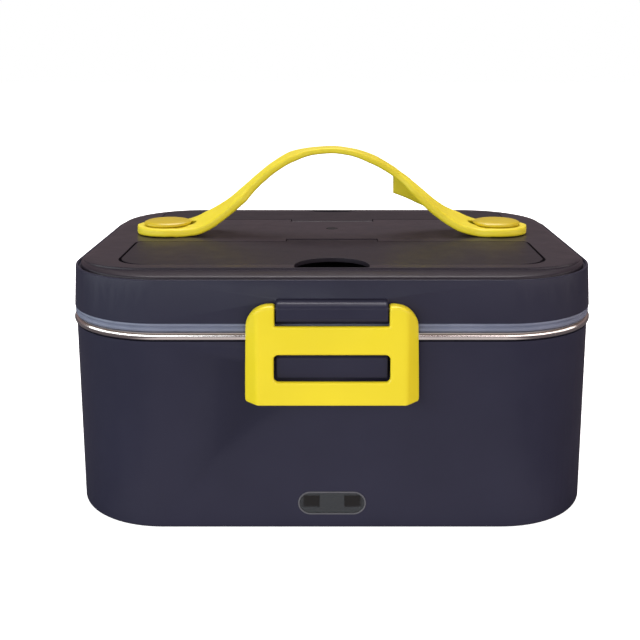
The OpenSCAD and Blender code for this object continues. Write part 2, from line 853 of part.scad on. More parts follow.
module container() {
    inset = flange_w + sheet + container_draft + container_floor_r - eps;
    color(steel)
        union() {
            around(rim_w, rim_d, rim_r)
                container_profile();
            slab(rim_w - 2 * inset, rim_d - 2 * inset, rim_r - inset,
                container_z, container_z + sheet);
        }
}

// Lid

module frame_profile() {
    lip_r = lip_w / 2;
    polygon(concat([[0, skirt_z]],
        arc([-skirt_lean - lip_r, skirt_top - lip_r], lip_r, 0, 180, 8),
        [[-skirt_lean - lip_w, groove_z], [-cover_inset - 5, groove_z],
         [-cover_inset - 5, groove_z - wall], [-skirt_lean - wall, groove_z - wall],
         [-wall, skirt_z]]));
    // Rib that holds the inner lid's flange
    polygon([[-wall / 2, skirt_z + inner_t], [-wall - 2, skirt_z + inner_t],
        [-wall - 2, skirt_z + inner_t + 1.2], [-wall / 2, skirt_z + inner_t + 3]]);
}

// Lug on the skirt that carries a latch pin
module lug_profile() {
    top = pivot_z + ear_r - 0.3;
    root = -(skirt_d / 2) + wall / 2 + skirt_lean;
    intersection() {
        union() {
            translate([pivot_y, pivot_z])
                circle(lug_r, $fn = medium);
            translate([pivot_y, pivot_z - lug_r])
                square([root - pivot_y, top - pivot_z + lug_r]);
        }
        polygon([[pivot_y - 3.6, pivot_z - lug_r - 1], [root, pivot_z - lug_r - 1],
            [root, top], [pivot_y - 1.6, top], [pivot_y - 3.6, top - 1.8]]);
    }
}

module lug() {
    half_w = lug_gap_half_w - lug_clear;
    difference() {
        along_x(-half_w, 2 * half_w)
            lug_profile();
        rod_x(-half_w - 1, half_w + 1, pivot_y, pivot_z, latch_pin_r + run_clear);
    }
}

module lid_frame() {
    color(navy)
        union() {
            around(skirt_w, skirt_d, skirt_r)
                frame_profile();
            lug();
            rotate([0, 0, 180])
                lug();
        }
}

// Outline of a flap, seen from above, with its free edge at y0 and its hinge edge at y1.
// grow widens it all round.
module flap_outline(y0, y1, grow, hinge_grow) {
    s = sign(y1 - y0);
    half_w = flap_half_w + grow;
    free_r = (s > 0 ? flap_r : rear_flap_r) + grow;
    hinge_r = flap_hinge_r;
    ya = y0 - s * grow;
    yb = y1 + s * hinge_grow;
    for (m = [0, 1])
        mirror([m, 0]) {
            translate([half_w - free_r, ya + s * free_r])
                circle(free_r, $fn = fine);
            translate([half_w - hinge_r, yb - s * hinge_r])
                circle(hinge_r, $fn = medium);
        }
    translate([0, (ya + yb) / 2])
        square([2 * (half_w - free_r), abs(yb - ya)], center = true);
    translate([0, (ya + yb) / 2])
        square([2 * (half_w - hinge_r), abs(yb - ya)
            - 2 * max(0, free_r - hinge_r)], center = true);
    translate([0, (ya + s * free_r + yb - s * hinge_r) / 2])
        square([2 * half_w, abs(yb - ya) - free_r - hinge_r], center = true);
    translate([0, (yb - s * hinge_r + yb) / 2])
        square([2 * (half_w - hinge_r), hinge_r], center = true);
}

// Thumb scoop at a free edge: a circle cut off straight on its outer side
module scoop_outline(y0, s, grow) {
    r = s > 0 ? scoop_r : rear_scoop_r;
    depth = s > 0 ? scoop_depth : rear_scoop_depth;
    reach = s > 0 ? scoop_reach : rear_scoop_reach;
    intersection() {
        translate([0, y0 + s * (depth - r)])
            circle(r + grow, $fn = fine);
        translate([0, y0 - s * (reach + grow) + s * r])
            square([3 * r, 2 * r], center = true);
    }
}

module flap_plate(y0, y1) {
    s = sign(y1 - y0);
    hinge_y = y1 + s * (tab_reach - barrel_r);
    tab_y = (y1 - s * 4 + hinge_y) / 2;
    difference() {
        union() {
            translate([0, 0, cover_top - flap_t])
                linear_extrude(height = flap_t)
                    difference() {
                        union() {
                            flap_outline(y0, y1, 0, 0);
                            translate([0, tab_y])
                                square([2 * tab_half_w, abs(hinge_y - y1) + 4], center = true);
                        }
                        scoop_outline(y0, s, 0);
                    }
            rod_x(-tab_half_w, tab_half_w, hinge_y, barrel_z, barrel_r);
        }
        rod_x(-tab_half_w - 1, tab_half_w + 1, hinge_y, barrel_z, flap_pin_r + run_clear);
    }
}

module front_flap() {
    color(navy)
        flap_plate(front_flap_front, front_flap_rear);
}

module rear_flap() {
    color(navy)
        flap_plate(rear_flap_rear, rear_flap_front);
}

module flap_pin(y) {
    color(steel)
        rod_x(-flap_pin_half_l, flap_pin_half_l, y, barrel_z, flap_pin_r);
}

module front_flap_pin() {
    flap_pin(front_hinge_y);
}

module rear_flap_pin() {
    flap_pin(rear_hinge_y);
}

module cover_profile() {
    edge_z = skirt_top + 0.1;
    polygon(concat(
        [for (i = [0:8]) [-shoulder_w * (1 - cos(90 * i / 8)),
            edge_z + (cover_top - edge_z) * sin(90 * i / 8)]],
        [[-shoulder_w - 8, cover_top], [-shoulder_w - 8, cover_under],
         [-3.8, cover_under], [-3.8, groove_z], [0, groove_z]]));
}

// Space in which a hinge tab and its barrel move
module tab_space(y1, s, z0) {
    reach = tab_reach + 0.4;
    translate([0, y1 + s * (reach - 2) / 2, z0])
        linear_extrude(height = cover_top + 1 - z0)
            square([2 * (tab_half_w + flap_gap), reach + 2], center = true);
}

module cover_cuts(y0, y1) {
    s = sign(y1 - y0);
    hinge_y = y1 + s * (tab_reach - barrel_r);
    translate([0, 0, cover_under - 1])
        linear_extrude(height = cover_t + 2) {
            flap_outline(y0, y1, flap_gap, hinge_gap);
            scoop_outline(y0, s, 0);
        }
    tab_space(y1, s, cover_under - 3);
    rod_x(-flap_pin_half_l - 0.3, flap_pin_half_l + 0.3, hinge_y, barrel_z,
        flap_pin_r + run_clear);
}

// Pads under the cover that hold the ends of a flap's hinge pin
module pin_pads(hinge_y) {
    for (m = [0, 1])
        mirror([m, 0, 0])
            translate([tab_half_w + flap_gap, hinge_y - 2.4, cover_under - deck_t])
                cube([5.5, 4.8, deck_t + eps]);
}

module lid_cover() {
    inset = shoulder_w + 8;
    color(navy)
        difference() {
            union() {
                around(cover_w, cover_d, cover_r)
                    cover_profile();
                slab(cover_w - 2 * inset + eps, cover_d - 2 * inset + eps, cover_r - inset,
                    cover_under, cover_top);
                pin_pads(front_hinge_y);
                pin_pads(rear_hinge_y);
            }
            cover_cuts(front_flap_front, front_flap_rear);
            cover_cuts(rear_flap_rear, rear_flap_front);
            for (s = [-1, 1])
                translate([s * button_mid_x, strap_y, cover_under - 1])
                    cylinder(r = stem_r + run_clear, h = cover_t + 2, $fn = medium);
            translate([0, vent_y, cover_under - 1])
                cylinder(r = vent_head_r + seat_gap, h = cover_t + 2, $fn = medium);
        }
}

// Inside of a compartment: smaller than its flap by the ledge, with room below the scoop
module tray_outline(y0, y1, grow) {
    s = sign(y1 - y0);
    w = 2 * (tray_half_w + grow);
    d = abs(y1 - y0) - 2 * ledge_w + 2 * grow;
    translate([0, (y0 + y1) / 2])
        rounded(w, d, 6 + grow);
    scoop_outline(y0, s, grow);
}

module tray_basin(y0, y1) {
    translate([0, 0, tray_floor - tray_t])
        linear_extrude(height = tray_depth - deck_t / 2 + tray_t)
            tray_outline(y0, y1, tray_t);
}

module tray_space(y0, y1) {
    translate([0, 0, tray_floor])
        linear_extrude(height = tray_depth + 1)
            tray_outline(y0, y1, 0);
}

module lid_tray() {
    deck_inset = cover_inset + 5.4;
    deck_z = cover_under - deck_t;
    color(dark_navy)
        difference() {
            union() {
                slab(skirt_w - 2 * deck_inset, skirt_d - 2 * deck_inset, skirt_r - deck_inset,
                    deck_z, cover_under);
                tray_basin(front_flap_front, front_flap_rear);
                tray_basin(rear_flap_rear, rear_flap_front);
                translate([0, vent_y, vent_tube_z])
                    cylinder(r = vent_stem_r + 2, h = cover_under - vent_tube_z, $fn = medium);
            }
            tray_space(front_flap_front, front_flap_rear);
            tray_space(rear_flap_rear, rear_flap_front);
            hinge_pocket(front_hinge_y);
            hinge_pocket(rear_hinge_y);
            for (s = [-1, 1])
                translate([s * button_mid_x, strap_y, deck_z - 1])
                    cylinder(r = stem_r + 2.5, h = deck_t + 2, $fn = medium);
            translate([0, vent_y, vent_tube_z - 1])
                cylinder(r = vent_stem_r + run_clear, h = 60, $fn = medium);
        }
}

// Opening in the deck below a hinge barrel and its pin pads
module hinge_pocket(hinge_y) {
    translate([0, hinge_y, cover_under - deck_t / 2])
        cube([2 * (tab_half_w + flap_gap + 5.5 + fit_gap), 2 * (barrel_r + 0.5), deck_t + 2],
            center = true);
}

inner_floor_z = seal_z - inner_drop + inner_t;
vent_tube_z = inner_floor_z + seat_gap;
inner_wall = flange_w + 2.5;

module inner_lid_profile() {
    flange_out = -wall - 0.6;
    z0 = inner_floor_z - inner_t;
    r = 3;
    polygon(concat([[flange_out, skirt_z], [flange_out, skirt_z + inner_t],
        [-inner_wall - inner_t, skirt_z + inner_t]],
        [[-inner_wall - inner_t, z0 + r]],
        arc([-inner_wall - r, z0 + r], r - inner_t, 0, -90, 4),
        arc([-inner_wall - r, z0 + r], r, -90, 0, 4),
        [[-inner_wall, skirt_z]]));
}

module inner_lid() {
    inset = inner_wall + 3;
    color([0.80, 0.81, 0.83])
        difference() {
            union() {
                around(skirt_w, skirt_d, skirt_r)
                    inner_lid_profile();
                slab(skirt_w - 2 * inset + eps, skirt_d - 2 * inset + eps, skirt_r - inset,
                    inner_floor_z - inner_t, inner_floor_z);
            }
            translate([0, vent_y, inner_floor_z - inner_t - 1])
                cylinder(r = vent_stem_r, h = inner_t + 2, $fn = medium);
        }
}

module gasket_profile() {
    out = -0.6;
    edge = 0.5;
    // Flat body on the rim's flange, with a drooping lip inside the container
    polygon([[out, seal_z + edge], [out - edge, seal_z], [-flange_w + 0.5, seal_z],
        [-inner_wall + 0.1, seal_z - 3], [-inner_wall + 0.1, seal_z - 1],
        [-inner_wall + 0.1, skirt_z], [out, skirt_z]]);
}

module gasket() {
    color(seal_grey)
        around(skirt_w, skirt_d, skirt_r)
            gasket_profile();
}

// Latches

// Front view of a latch, as X and Z
module latch_outline() {
    ear_half_w = latch_half_w - latch_taper;
    corner_x = ear_half_w - ear_corner_r;
    corner_z = pivot_z + ear_top - ear_corner_r;
    low = [latch_half_w - latch_corner_r, latch_bottom + latch_corner_r];
    polygon(concat([[-ear_half_w, corner_z]],
        arc([-low[0], low[1]], latch_corner_r, 180, 270),
        arc(low, latch_corner_r, -90, 0),
        [[ear_half_w, corner_z]]));
    translate([-corner_x, corner_z - eps])
        square([2 * corner_x, ear_corner_r + eps]);
    for (s = [-1, 1])
        translate([s * corner_x, corner_z])
            circle(ear_corner_r, $fn = fine);
}

// Section of the latch seen from above: a face with slanted sides and rounded ridges
module latch_section(filled) {
    a = atan2(latch_side_depth, latch_half_w - latch_face_half_w);
    back = face_y + latch_side_depth;
    wall_x = latch_half_w - latch_t / sin(a);
    c = [latch_face_half_w - latch_ridge_r * tan(a / 2), face_y + latch_ridge_r];
    outside = concat([[latch_half_w, back]], arc(c, latch_ridge_r, a - 90, -90),
        arc([-c[0], c[1]], latch_ridge_r, -90, -90 - a), [[-latch_half_w, back]]);
    inside = concat([[-wall_x, back]],
        arc([-c[0], c[1]], latch_ridge_r - latch_t, -90 - a, -90),
        arc(c, latch_ridge_r - latch_t, -90, a - 90), [[wall_x, back]]);
    polygon(filled ? outside : concat(outside, inside));
}

module latch_body() {
    difference() {
        intersection() {
            along_y(face_y - 1, latch_side_depth + 4)
                latch_outline();
            union() {
                translate([0, 0, latch_bottom - 1])
                    linear_extrude(height = pivot_z - latch_bottom + 1)
                        latch_section(false);
                intersection() {
                    rod_x(-latch_half_w, latch_half_w, pivot_y, pivot_z, ear_r);
                    translate([0, 0, pivot_z - ear_r])
                        linear_extrude(height = 2 * ear_r) {
                            latch_section(true);
                            translate([-latch_half_w, face_y + latch_side_depth])
                                square([2 * latch_half_w, 4]);
                        }
                }
            }
        }
        // Gap between the ears
        translate([-lug_gap_half_w, face_y - 2, pivot_z - panel_top_drop])
            cube([2 * lug_gap_half_w, 20, panel_top_drop + 2 * ear_r]);
        translate([0, 0, slot_z + slot_h / 2])
            along_y(face_y - 2, 20)
                rounded(2 * slot_half_w, slot_h, slot_r);
        rod_x(-latch_pin_half_l - 0.3, latch_pin_half_l + 0.3, pivot_y, pivot_z,
            latch_pin_r + run_clear);
    }
}

module front_latch() {
    color(yellow)
        latch_body();
}

module rear_latch() {
    color(yellow)
        rotate([0, 0, 180])
            latch_body();
}

module latch_pin() {
    color(steel)
        rod_x(-latch_pin_half_l, latch_pin_half_l, pivot_y, pivot_z, latch_pin_r);
}

module front_latch_pin() {
    latch_pin();
}

module rear_latch_pin() {
    rotate([0, 0, 180])
        latch_pin();
}

// Strap, its buttons and the vent plug

module button(x) {
    edge = 0.7;
    color(yellow)
        translate([x, strap_y, 0])
            union() {
                translate([0, 0, disc_z])
                    rotate_extrude($fn = fine)
                        polygon(concat([[0, 0], [button_r - edge, 0]],
                            arc([button_r - edge, edge], edge, -90, 0, 3),
                            arc([button_r - 1.2, button_t - 1.4], 1.2, 0, 80, 5),
                            [[0, button_t]]));
                translate([0, 0, cover_under - 1.6])
                    cylinder(r = stem_r, h = disc_z - cover_under + 1.6 + eps, $fn = medium);
                translate([0, 0, cover_under - 1.6])
                    cylinder(r = stem_r + 1.8, h = 1.6, $fn = medium);
            }
}

module left_button() {
    button(-button_mid_x);
}

module right_button() {
    button(button_mid_x);
}

// Side view of the whole strap, as X and Z, thinner at its crest than at its ends
module strap_side() {
    half = strap_t / 2;
    crest_half = grip_t / 2;
    end_x = button_mid_x + pad_r + 1;
    foot_z = strap_mid_z + foot_bend_r;
    crest = [0, crest_mid_z - crest_bend_r];
    polygon(concat([[end_x, strap_z]],
        arc([rise_x, foot_z], foot_bend_r + half, -90, -90 - strap_slope, 10),
        arc(crest, crest_bend_r - crest_half, 90 - strap_slope, 90 + strap_slope, 20),
        arc([-rise_x, foot_z], foot_bend_r + half, -90 + strap_slope, -90, 10),
        [[-end_x, strap_z], [-end_x, strap_z + strap_t]],
        arc([-rise_x, foot_z], foot_bend_r - half, -90, -90 + strap_slope, 10),
        arc(crest, crest_bend_r + crest_half, 90 + strap_slope, 90 - strap_slope, 20),
        arc([rise_x, foot_z], foot_bend_r - half, -90 - strap_slope, -90, 10),
        [[end_x, strap_z + strap_t]]));
}

// Plan view of the whole strap
module strap_plan() {
    w = strap_w / 2;
    g = grip_w / 2;
    polygon([[-button_mid_x, -w], [grip_left - grip_taper / 2, -w], [grip_left, -g],
        [grip_right, -g], [grip_right + grip_taper, -w], [button_mid_x, -w],
        [button_mid_x, w], [grip_right + 1, w], [grip_right, g],
        [grip_rear_left + grip_taper / 2, g], [grip_rear_left - grip_taper / 2, w],
        [-button_mid_x, w]]);
    for (s = [-1, 1])
        translate([s * button_mid_x, 0])
            circle(pad_r, $fn = fine);
}

// Slots in which the button stems slide, when the strap is pressed flat
module stem_slots() {
    for (s = [-1, 1])
        translate([s * (slot_inner_x + slot_outer_x) / 2, 0])
            capsule(slot_outer_x - slot_inner_x, 2 * (stem_r + seat_gap));
}

// The strap between two places along X
module strap_part(x0, x1) {
    intersection() {
        along_y(strap_y - pad_r - 1, 2 * pad_r + 2)
            intersection() {
                strap_side();
                translate([x0, 0])
                    square([x1 - x0, crest_mid_z + strap_t]);
            }
        translate([0, strap_y, strap_z - 1])
            linear_extrude(height = crest_mid_z - strap_z + strap_t)
                difference() {
                    strap_plan();
                    stem_slots();
                }
    }
}

module strap_pad() {
    strap_part(rise_x, button_mid_x + pad_r + 1);
}

module right_strap_pad() {
    color(strap_yellow)
        strap_pad();
}

module left_strap_pad() {
    color(strap_yellow)
        mirror([1, 0, 0])
            strap_pad();
}

module strap_grip() {
    color(strap_yellow)
        strap_part(-crest_half_l, crest_half_l);
}

module left_strap_leg() {
    color(strap_yellow)
        strap_part(-rise_x, -crest_half_l);
}

module right_strap_leg() {
    color(strap_yellow)
        strap_part(crest_half_l, rise_x);
}

module vent_plug() {
    color([0.09, 0.09, 0.11])
        translate([0, vent_y, 0])
            union() {
                translate([0, 0, cover_under + seat_gap])
                    cylinder(r = vent_head_r, h = cover_t - seat_gap, $fn = medium);
                translate([0, 0, cover_under - 5])
                    cylinder(r = vent_stem_r, h = 5 + seat_gap + eps, $fn = medium);
                translate([0, 0, cover_under - 7])
                    cylinder(r1 = vent_stem_r / 2, r2 = vent_stem_r, h = 2, $fn = medium);
            }
}

outer_housing();
base_plate();
feet();
base_screws();
heating_well();
heater_plate();
heating_element();
thermostat();
thermal_fuse();
control_board();
indicator_bezel();
indicator_lens();
indicator_frame();
led_board();
indicator_leds();
power_inlet();
inlet_pins();
wiring();
container();
lid_frame();
lid_cover();
lid_tray();
inner_lid();
gasket();
front_flap();
rear_flap();
front_flap_pin();
rear_flap_pin();
front_latch();
rear_latch();
front_latch_pin();
rear_latch_pin();
left_button();
right_button();
left_strap_pad();
right_strap_pad();
strap_grip();
left_strap_leg();
right_strap_leg();
vent_plug();
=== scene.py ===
"""Looks of the electric lunch box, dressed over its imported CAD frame. Lengths are in metres."""

import json
import math

import bmesh
import bpy
import numpy as np
from mathutils import Matrix, Vector


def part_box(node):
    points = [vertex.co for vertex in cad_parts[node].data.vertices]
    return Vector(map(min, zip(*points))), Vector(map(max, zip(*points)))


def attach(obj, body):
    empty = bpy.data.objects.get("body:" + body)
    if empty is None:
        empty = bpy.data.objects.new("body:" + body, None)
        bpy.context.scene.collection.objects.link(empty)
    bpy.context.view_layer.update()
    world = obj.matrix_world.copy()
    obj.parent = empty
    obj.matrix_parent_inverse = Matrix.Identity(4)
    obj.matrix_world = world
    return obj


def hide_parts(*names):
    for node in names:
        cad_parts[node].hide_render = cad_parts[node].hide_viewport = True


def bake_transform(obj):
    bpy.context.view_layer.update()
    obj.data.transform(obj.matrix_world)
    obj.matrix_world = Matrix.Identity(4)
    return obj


MM = 0.001
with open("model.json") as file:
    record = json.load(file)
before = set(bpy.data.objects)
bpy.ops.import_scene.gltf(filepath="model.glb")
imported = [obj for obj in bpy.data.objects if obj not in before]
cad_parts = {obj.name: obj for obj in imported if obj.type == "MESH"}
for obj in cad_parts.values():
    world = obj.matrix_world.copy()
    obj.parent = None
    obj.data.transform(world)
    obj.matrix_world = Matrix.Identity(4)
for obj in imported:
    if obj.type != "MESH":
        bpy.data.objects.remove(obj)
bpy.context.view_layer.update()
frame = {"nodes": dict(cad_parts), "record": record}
scene = bpy.context.scene

# ---------------------------------------------------------------- camera

CAMERA_PLACE = (0.0, -0.4929, 0.2099)
CAMERA_PITCH = 0.16                      # radians below the horizon
CAMERA_LENS = 54.92
CAMERA_SHIFT = (-0.01875, -0.1734)

camera_data = bpy.data.cameras.new("camera")
camera = bpy.data.objects.new("camera", camera_data)
scene.collection.objects.link(camera)
camera.location = CAMERA_PLACE
camera.rotation_euler = (math.pi / 2 - CAMERA_PITCH, 0, 0)
camera_data.sensor_width = 36
camera_data.lens = CAMERA_LENS
camera_data.shift_x, camera_data.shift_y = CAMERA_SHIFT
camera_data.clip_start = 0.01
camera_data.clip_end = 30
scene.camera = camera


# ---------------------------------------------------------------- materials

def srgb(r, g, b):
    """Linear colour from 0..255 display values."""
    def linear(c):
        c /= 255
        return c / 12.92 if c <= 0.04045 else ((c + 0.055) / 1.055) ** 2.4
    return (linear(r), linear(g), linear(b), 1.0)


class Builder:
    """A node material with one Principled shader and helpers for its textures."""

    def __init__(self, name, color, roughness, **inputs):
        self.material = bpy.data.materials.new(name)
        self.material.use_nodes = True
        self.tree = self.material.node_tree
        self.shader = self.tree.nodes["Principled BSDF"]
        self.shader.inputs["Base Color"].default_value = color
        self.shader.inputs["Roughness"].default_value = roughness
        for key, value in inputs.items():
            self.shader.inputs[key.replace("_", " ")].default_value = value
        self.coords = self.tree.nodes.new("ShaderNodeTexCoord").outputs["Object"]

    def link(self, a, b):
        self.tree.links.new(a, b)

    def noise(self, scale, detail=3, rough=0.5, stretch=None):
        node = self.tree.nodes.new("ShaderNodeTexNoise")
        node.inputs["Scale"].default_value = scale
        node.inputs["Detail"].default_value = detail
        node.inputs["Roughness"].default_value = rough
        source = self.coords
        if stretch:
            mapping = self.tree.nodes.new("ShaderNodeMapping")
            mapping.inputs["Scale"].default_value = stretch
            self.link(source, mapping.inputs["Vector"])
            source = mapping.outputs["Vector"]
        self.link(source, node.inputs["Vector"])
        return node.outputs["Fac"]

    def separate(self):
        """The parts of the place on the object, by axis."""
        node = self.tree.nodes.new("ShaderNodeSeparateXYZ")
        self.link(self.coords, node.inputs["Vector"])
        return node.outputs

    def math(self, operation, *sources):
        node = self.tree.nodes.new("ShaderNodeMath")
        node.operation = operation
        for source, socket in zip(sources, node.inputs):
            self.link(source, socket)
        return node.outputs[0]

    def fade(self, source, edge):
        """Rises smoothly from 0 at edge[0] to 1 at edge[1]."""
        node = self.tree.nodes.new("ShaderNodeMapRange")
        node.interpolation_type = "SMOOTHSTEP"
        node.inputs["From Min"].default_value, node.inputs["From Max"].default_value = edge
        self.link(source, node.inputs["Value"])
        return node.outputs["Result"]

    def spread(self, fac, low, high):
        """Maps noise, which stays near 0.5, to a range of values."""
        node = self.tree.nodes.new("ShaderNodeMapRange")
        node.inputs["From Min"].default_value = 0.3
        node.inputs["From Max"].default_value = 0.7
        node.inputs["To Min"].default_value = low
        node.inputs["To Max"].default_value = high
        self.link(fac, node.inputs["Value"])
        return node.outputs["Result"]

    def vary_roughness(self, fac, low, high):
        self.link(self.spread(fac, low, high), self.shader.inputs["Roughness"])
        return self

    def vary_color(self, fac, dark, light):
        node = self.tree.nodes.new("ShaderNodeMix")
        node.data_type = "RGBA"
        node.inputs["A"].default_value = dark
        node.inputs["B"].default_value = light
        self.link(self.spread(fac, 0, 1), node.inputs["Factor"])
        self.link(node.outputs["Result"], self.shader.inputs["Base Color"])
        return self

    def bump(self, fac, depth, strength=1.0):
        node = self.tree.nodes.new("ShaderNodeBump")
        node.inputs["Strength"].default_value = strength
        node.inputs["Distance"].default_value = depth
        self.link(fac, node.inputs["Height"])
        self.link(node.outputs["Normal"], self.shader.inputs["Normal"])
        return self


def tint(color, factor):
    return tuple(c * factor for c in color[:3]) + (1.0,)


def moulded(name, color, roughness, grain=2600, depth=0.00002, blotch=0.05, **inputs):
    """Injection-moulded plastic: fine spark-eroded grain, faint cloudiness."""
    m = Builder(name, color, roughness, **inputs)
    m.vary_color(m.noise(35, 2), tint(color, 1 - blotch), tint(color, 1 + blotch))
    m.vary_roughness(m.noise(90, 4), roughness - 0.04, roughness + 0.05)
    m.bump(m.noise(grain, 2), depth)
    return m.material


DARK = {"Specular_IOR_Level": 0.2}
materials = {
    "housing": moulded("navy_plastic", srgb(44, 44, 61), 0.4, **DARK),
    "cover": moulded("navy_cover_plastic", srgb(47, 42, 50), 0.34, **DARK),
    "flap": moulded("navy_flap_plastic", srgb(40, 36, 43), 0.4, Specular_IOR_Level=0.13),
    "inner_moulding": moulded("dark_inner_plastic", srgb(26, 26, 32), 0.6, **DARK),
    "foot": moulded("foot_rubber", srgb(26, 26, 28), 0.75),
    "thermostat_black": moulded("bakelite", srgb(34, 31, 30), 0.35),
    "bezel": moulded("bezel_plastic", srgb(92, 93, 98), 0.25),
    "light_frame": moulded("light_frame_plastic", srgb(120, 126, 132), 0.5),
    "inlet_black": moulded("inlet_plastic", srgb(22, 22, 24), 0.4),
    "latch_yellow": moulded("yellow_plastic", srgb(245, 224, 34), 0.4, grain=1800,
                            depth=0.00001, blotch=0.03),
    "fuse": moulded("fuse_ceramic", srgb(205, 200, 190), 0.5),
    "vent_rubber": moulded("vent_silicone", srgb(20, 19, 24), 0.7, **DARK),
    "wire": moulded("wire_sleeve", srgb(150, 30, 25), 0.35, blotch=0.02),
}

m = Builder("strap_silicone", srgb(236, 218, 45), 0.5)
m.shader.inputs["Subsurface Weight"].default_value = 0.12
m.shader.inputs["Subsurface Radius"].default_value = (0.004, 0.003, 0.001)
m.vary_color(m.noise(60, 3), srgb(230, 212, 38), srgb(241, 224, 52))
m.vary_roughness(m.noise(150, 4), 0.45, 0.58)
m.bump(m.noise(1500, 3), 0.00002)
materials["strap_yellow"] = m.material

m = Builder("button_plastic", srgb(208, 183, 33), 0.34)
m.vary_color(m.noise(70, 2), srgb(205, 179, 30), srgb(211, 187, 36))
m.vary_roughness(m.noise(120, 3), 0.3, 0.4)
m.bump(m.noise(1800, 2), 0.00001)
materials["button"] = m.material

m = Builder("seal_silicone", srgb(120, 127, 147), 0.45)
m.shader.inputs["Subsurface Weight"].default_value = 0.15
m.shader.inputs["Subsurface Radius"].default_value = (0.003, 0.003, 0.004)
m.vary_color(m.noise(80, 3), srgb(114, 121, 141), srgb(126, 133, 153))
m.bump(m.noise(900, 2), 0.00002)
materials["seal"] = m.material

m = Builder("stainless_steel", (0.78, 0.735, 0.70, 1), 0.16, Metallic=1.0)
m.vary_roughness(m.noise(120, 4, stretch=(1, 1, 14)), 0.12, 0.22)
m.bump(m.noise(500, 3, stretch=(1, 1, 25)), 0.000006)
materials["steel"] = m.material

m = Builder("blackened_steel", (0.03, 0.028, 0.026, 1), 0.4, Metallic=0.6)
m.vary_roughness(m.noise(300, 3), 0.35, 0.5)
materials["latch_pin"] = m.material

m = Builder("plain_aluminium", (0.61, 0.62, 0.64, 1), 0.34, Metallic=1.0)
m.vary_roughness(m.noise(60, 4, stretch=(1, 9, 1)), 0.28, 0.42)
m.bump(m.noise(700, 3, stretch=(1, 12, 1)), 0.00001)
materials["aluminium"] = m.material

m = Builder("pin_metal", (0.70, 0.64, 0.46, 1), 0.25, Metallic=1.0)
m.vary_roughness(m.noise(400, 3), 0.2, 0.32)
materials["pin_brass"] = m.material

m = Builder("mica_sheet", srgb(178, 150, 104), 0.5)
m.vary_color(m.noise(45, 5), srgb(160, 132, 88), srgb(196, 170, 124))
m.bump(m.noise(300, 4), 0.00004)
materials["mica"] = m.material

m = Builder("circuit_board", srgb(26, 92, 52), 0.4)
m.vary_color(m.noise(120, 2, stretch=(1, 8, 1)), srgb(20, 78, 44), srgb(34, 108, 62))
m.vary_roughness(m.noise(200, 3), 0.33, 0.5)
materials["board"] = m.material

m = Builder("light_diffuser", srgb(24, 24, 26), 0.5)
m.vary_color(m.noise(300, 2), srgb(20, 20, 22), srgb(29, 29, 31))
materials["led"] = m.material

LENS_TINT = srgb(150, 160, 168)
# The dark colour below is painted shade: it stands for the shade in the light ports' openings and
# the dark lights behind the lens
PORT_SHADE_TINT = srgb(22, 22, 24)
# Edges of the light ports in metres: where each starts and is full, across and in height
PORT_ACROSS = ((0.0053, 0.0055), (0.0142, 0.0117))
PORT_UP = ((0.0106, 0.0119), (0.0175, 0.0162))

m = Builder("smoked_lens", LENS_TINT, 0.12)
m.shader.inputs["Transmission Weight"].default_value = 0.9
m.shader.inputs["Specular IOR Level"].default_value = 0.2
m.shader.inputs["IOR"].default_value = 1.49
m.vary_roughness(m.noise(200, 3), 0.08, 0.18)
# Painted shade: the two light ports are painted dark in the lens, for the shade in the openings
# and the dark lights behind it, sharp towards its middle and soft elsewhere
place = m.separate()
across = m.math("ABSOLUTE", place["X"])
edges = [(across, edge) for edge in PORT_ACROSS] + [(place["Z"], edge) for edge in PORT_UP]
port_shade_mask = m.fade(*edges[0])
for source, edge in edges[1:]:
    port_shade_mask = m.math("MULTIPLY", port_shade_mask, m.fade(source, edge))
port_shade_mix = m.tree.nodes.new("ShaderNodeMix")
port_shade_mix.data_type = "RGBA"
m.link(port_shade_mask, port_shade_mix.inputs["Factor"])
port_shade_mix.inputs["A"].default_value = LENS_TINT
port_shade_mix.inputs["B"].default_value = PORT_SHADE_TINT
m.link(port_shade_mix.outputs["Result"], m.shader.inputs["Base Color"])
materials["lens"] = m.material

node_slot = {s["node"]: s["material_slot"] for s in frame["record"]["subparts"]}
node_body = {n: b for b, names in frame["record"]["behaviour"]["bodies"].items() for n in names}
for name, obj in frame["nodes"].items():
    obj.data.materials.clear()
    obj.data.materials.append(materials[node_slot[name]])


# ---------------------------------------------------------------- mesh helpers

def new_object(name, mesh, material, body=None):
    mesh.materials.clear()
    mesh.materials.append(materials[material])
    for polygon in mesh.polygons:
        polygon.use_smooth = True
    obj = bpy.data.objects.new(name, mesh)
    scene.collection.objects.link(obj)
    if body:
        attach(obj, body)
    return obj


def applied(obj, name):
    """The mesh of obj with its modifiers applied; obj is removed."""
    bpy.context.view_layer.update()
    graph = bpy.context.evaluated_depsgraph_get()
    mesh = bpy.data.meshes.new_from_object(obj.evaluated_get(graph))
    mesh.name = name
    bpy.data.objects.remove(obj)
    return mesh


def scratch(mesh):
    obj = bpy.data.objects.new("scratch", mesh)
    scene.collection.objects.link(obj)
    return obj


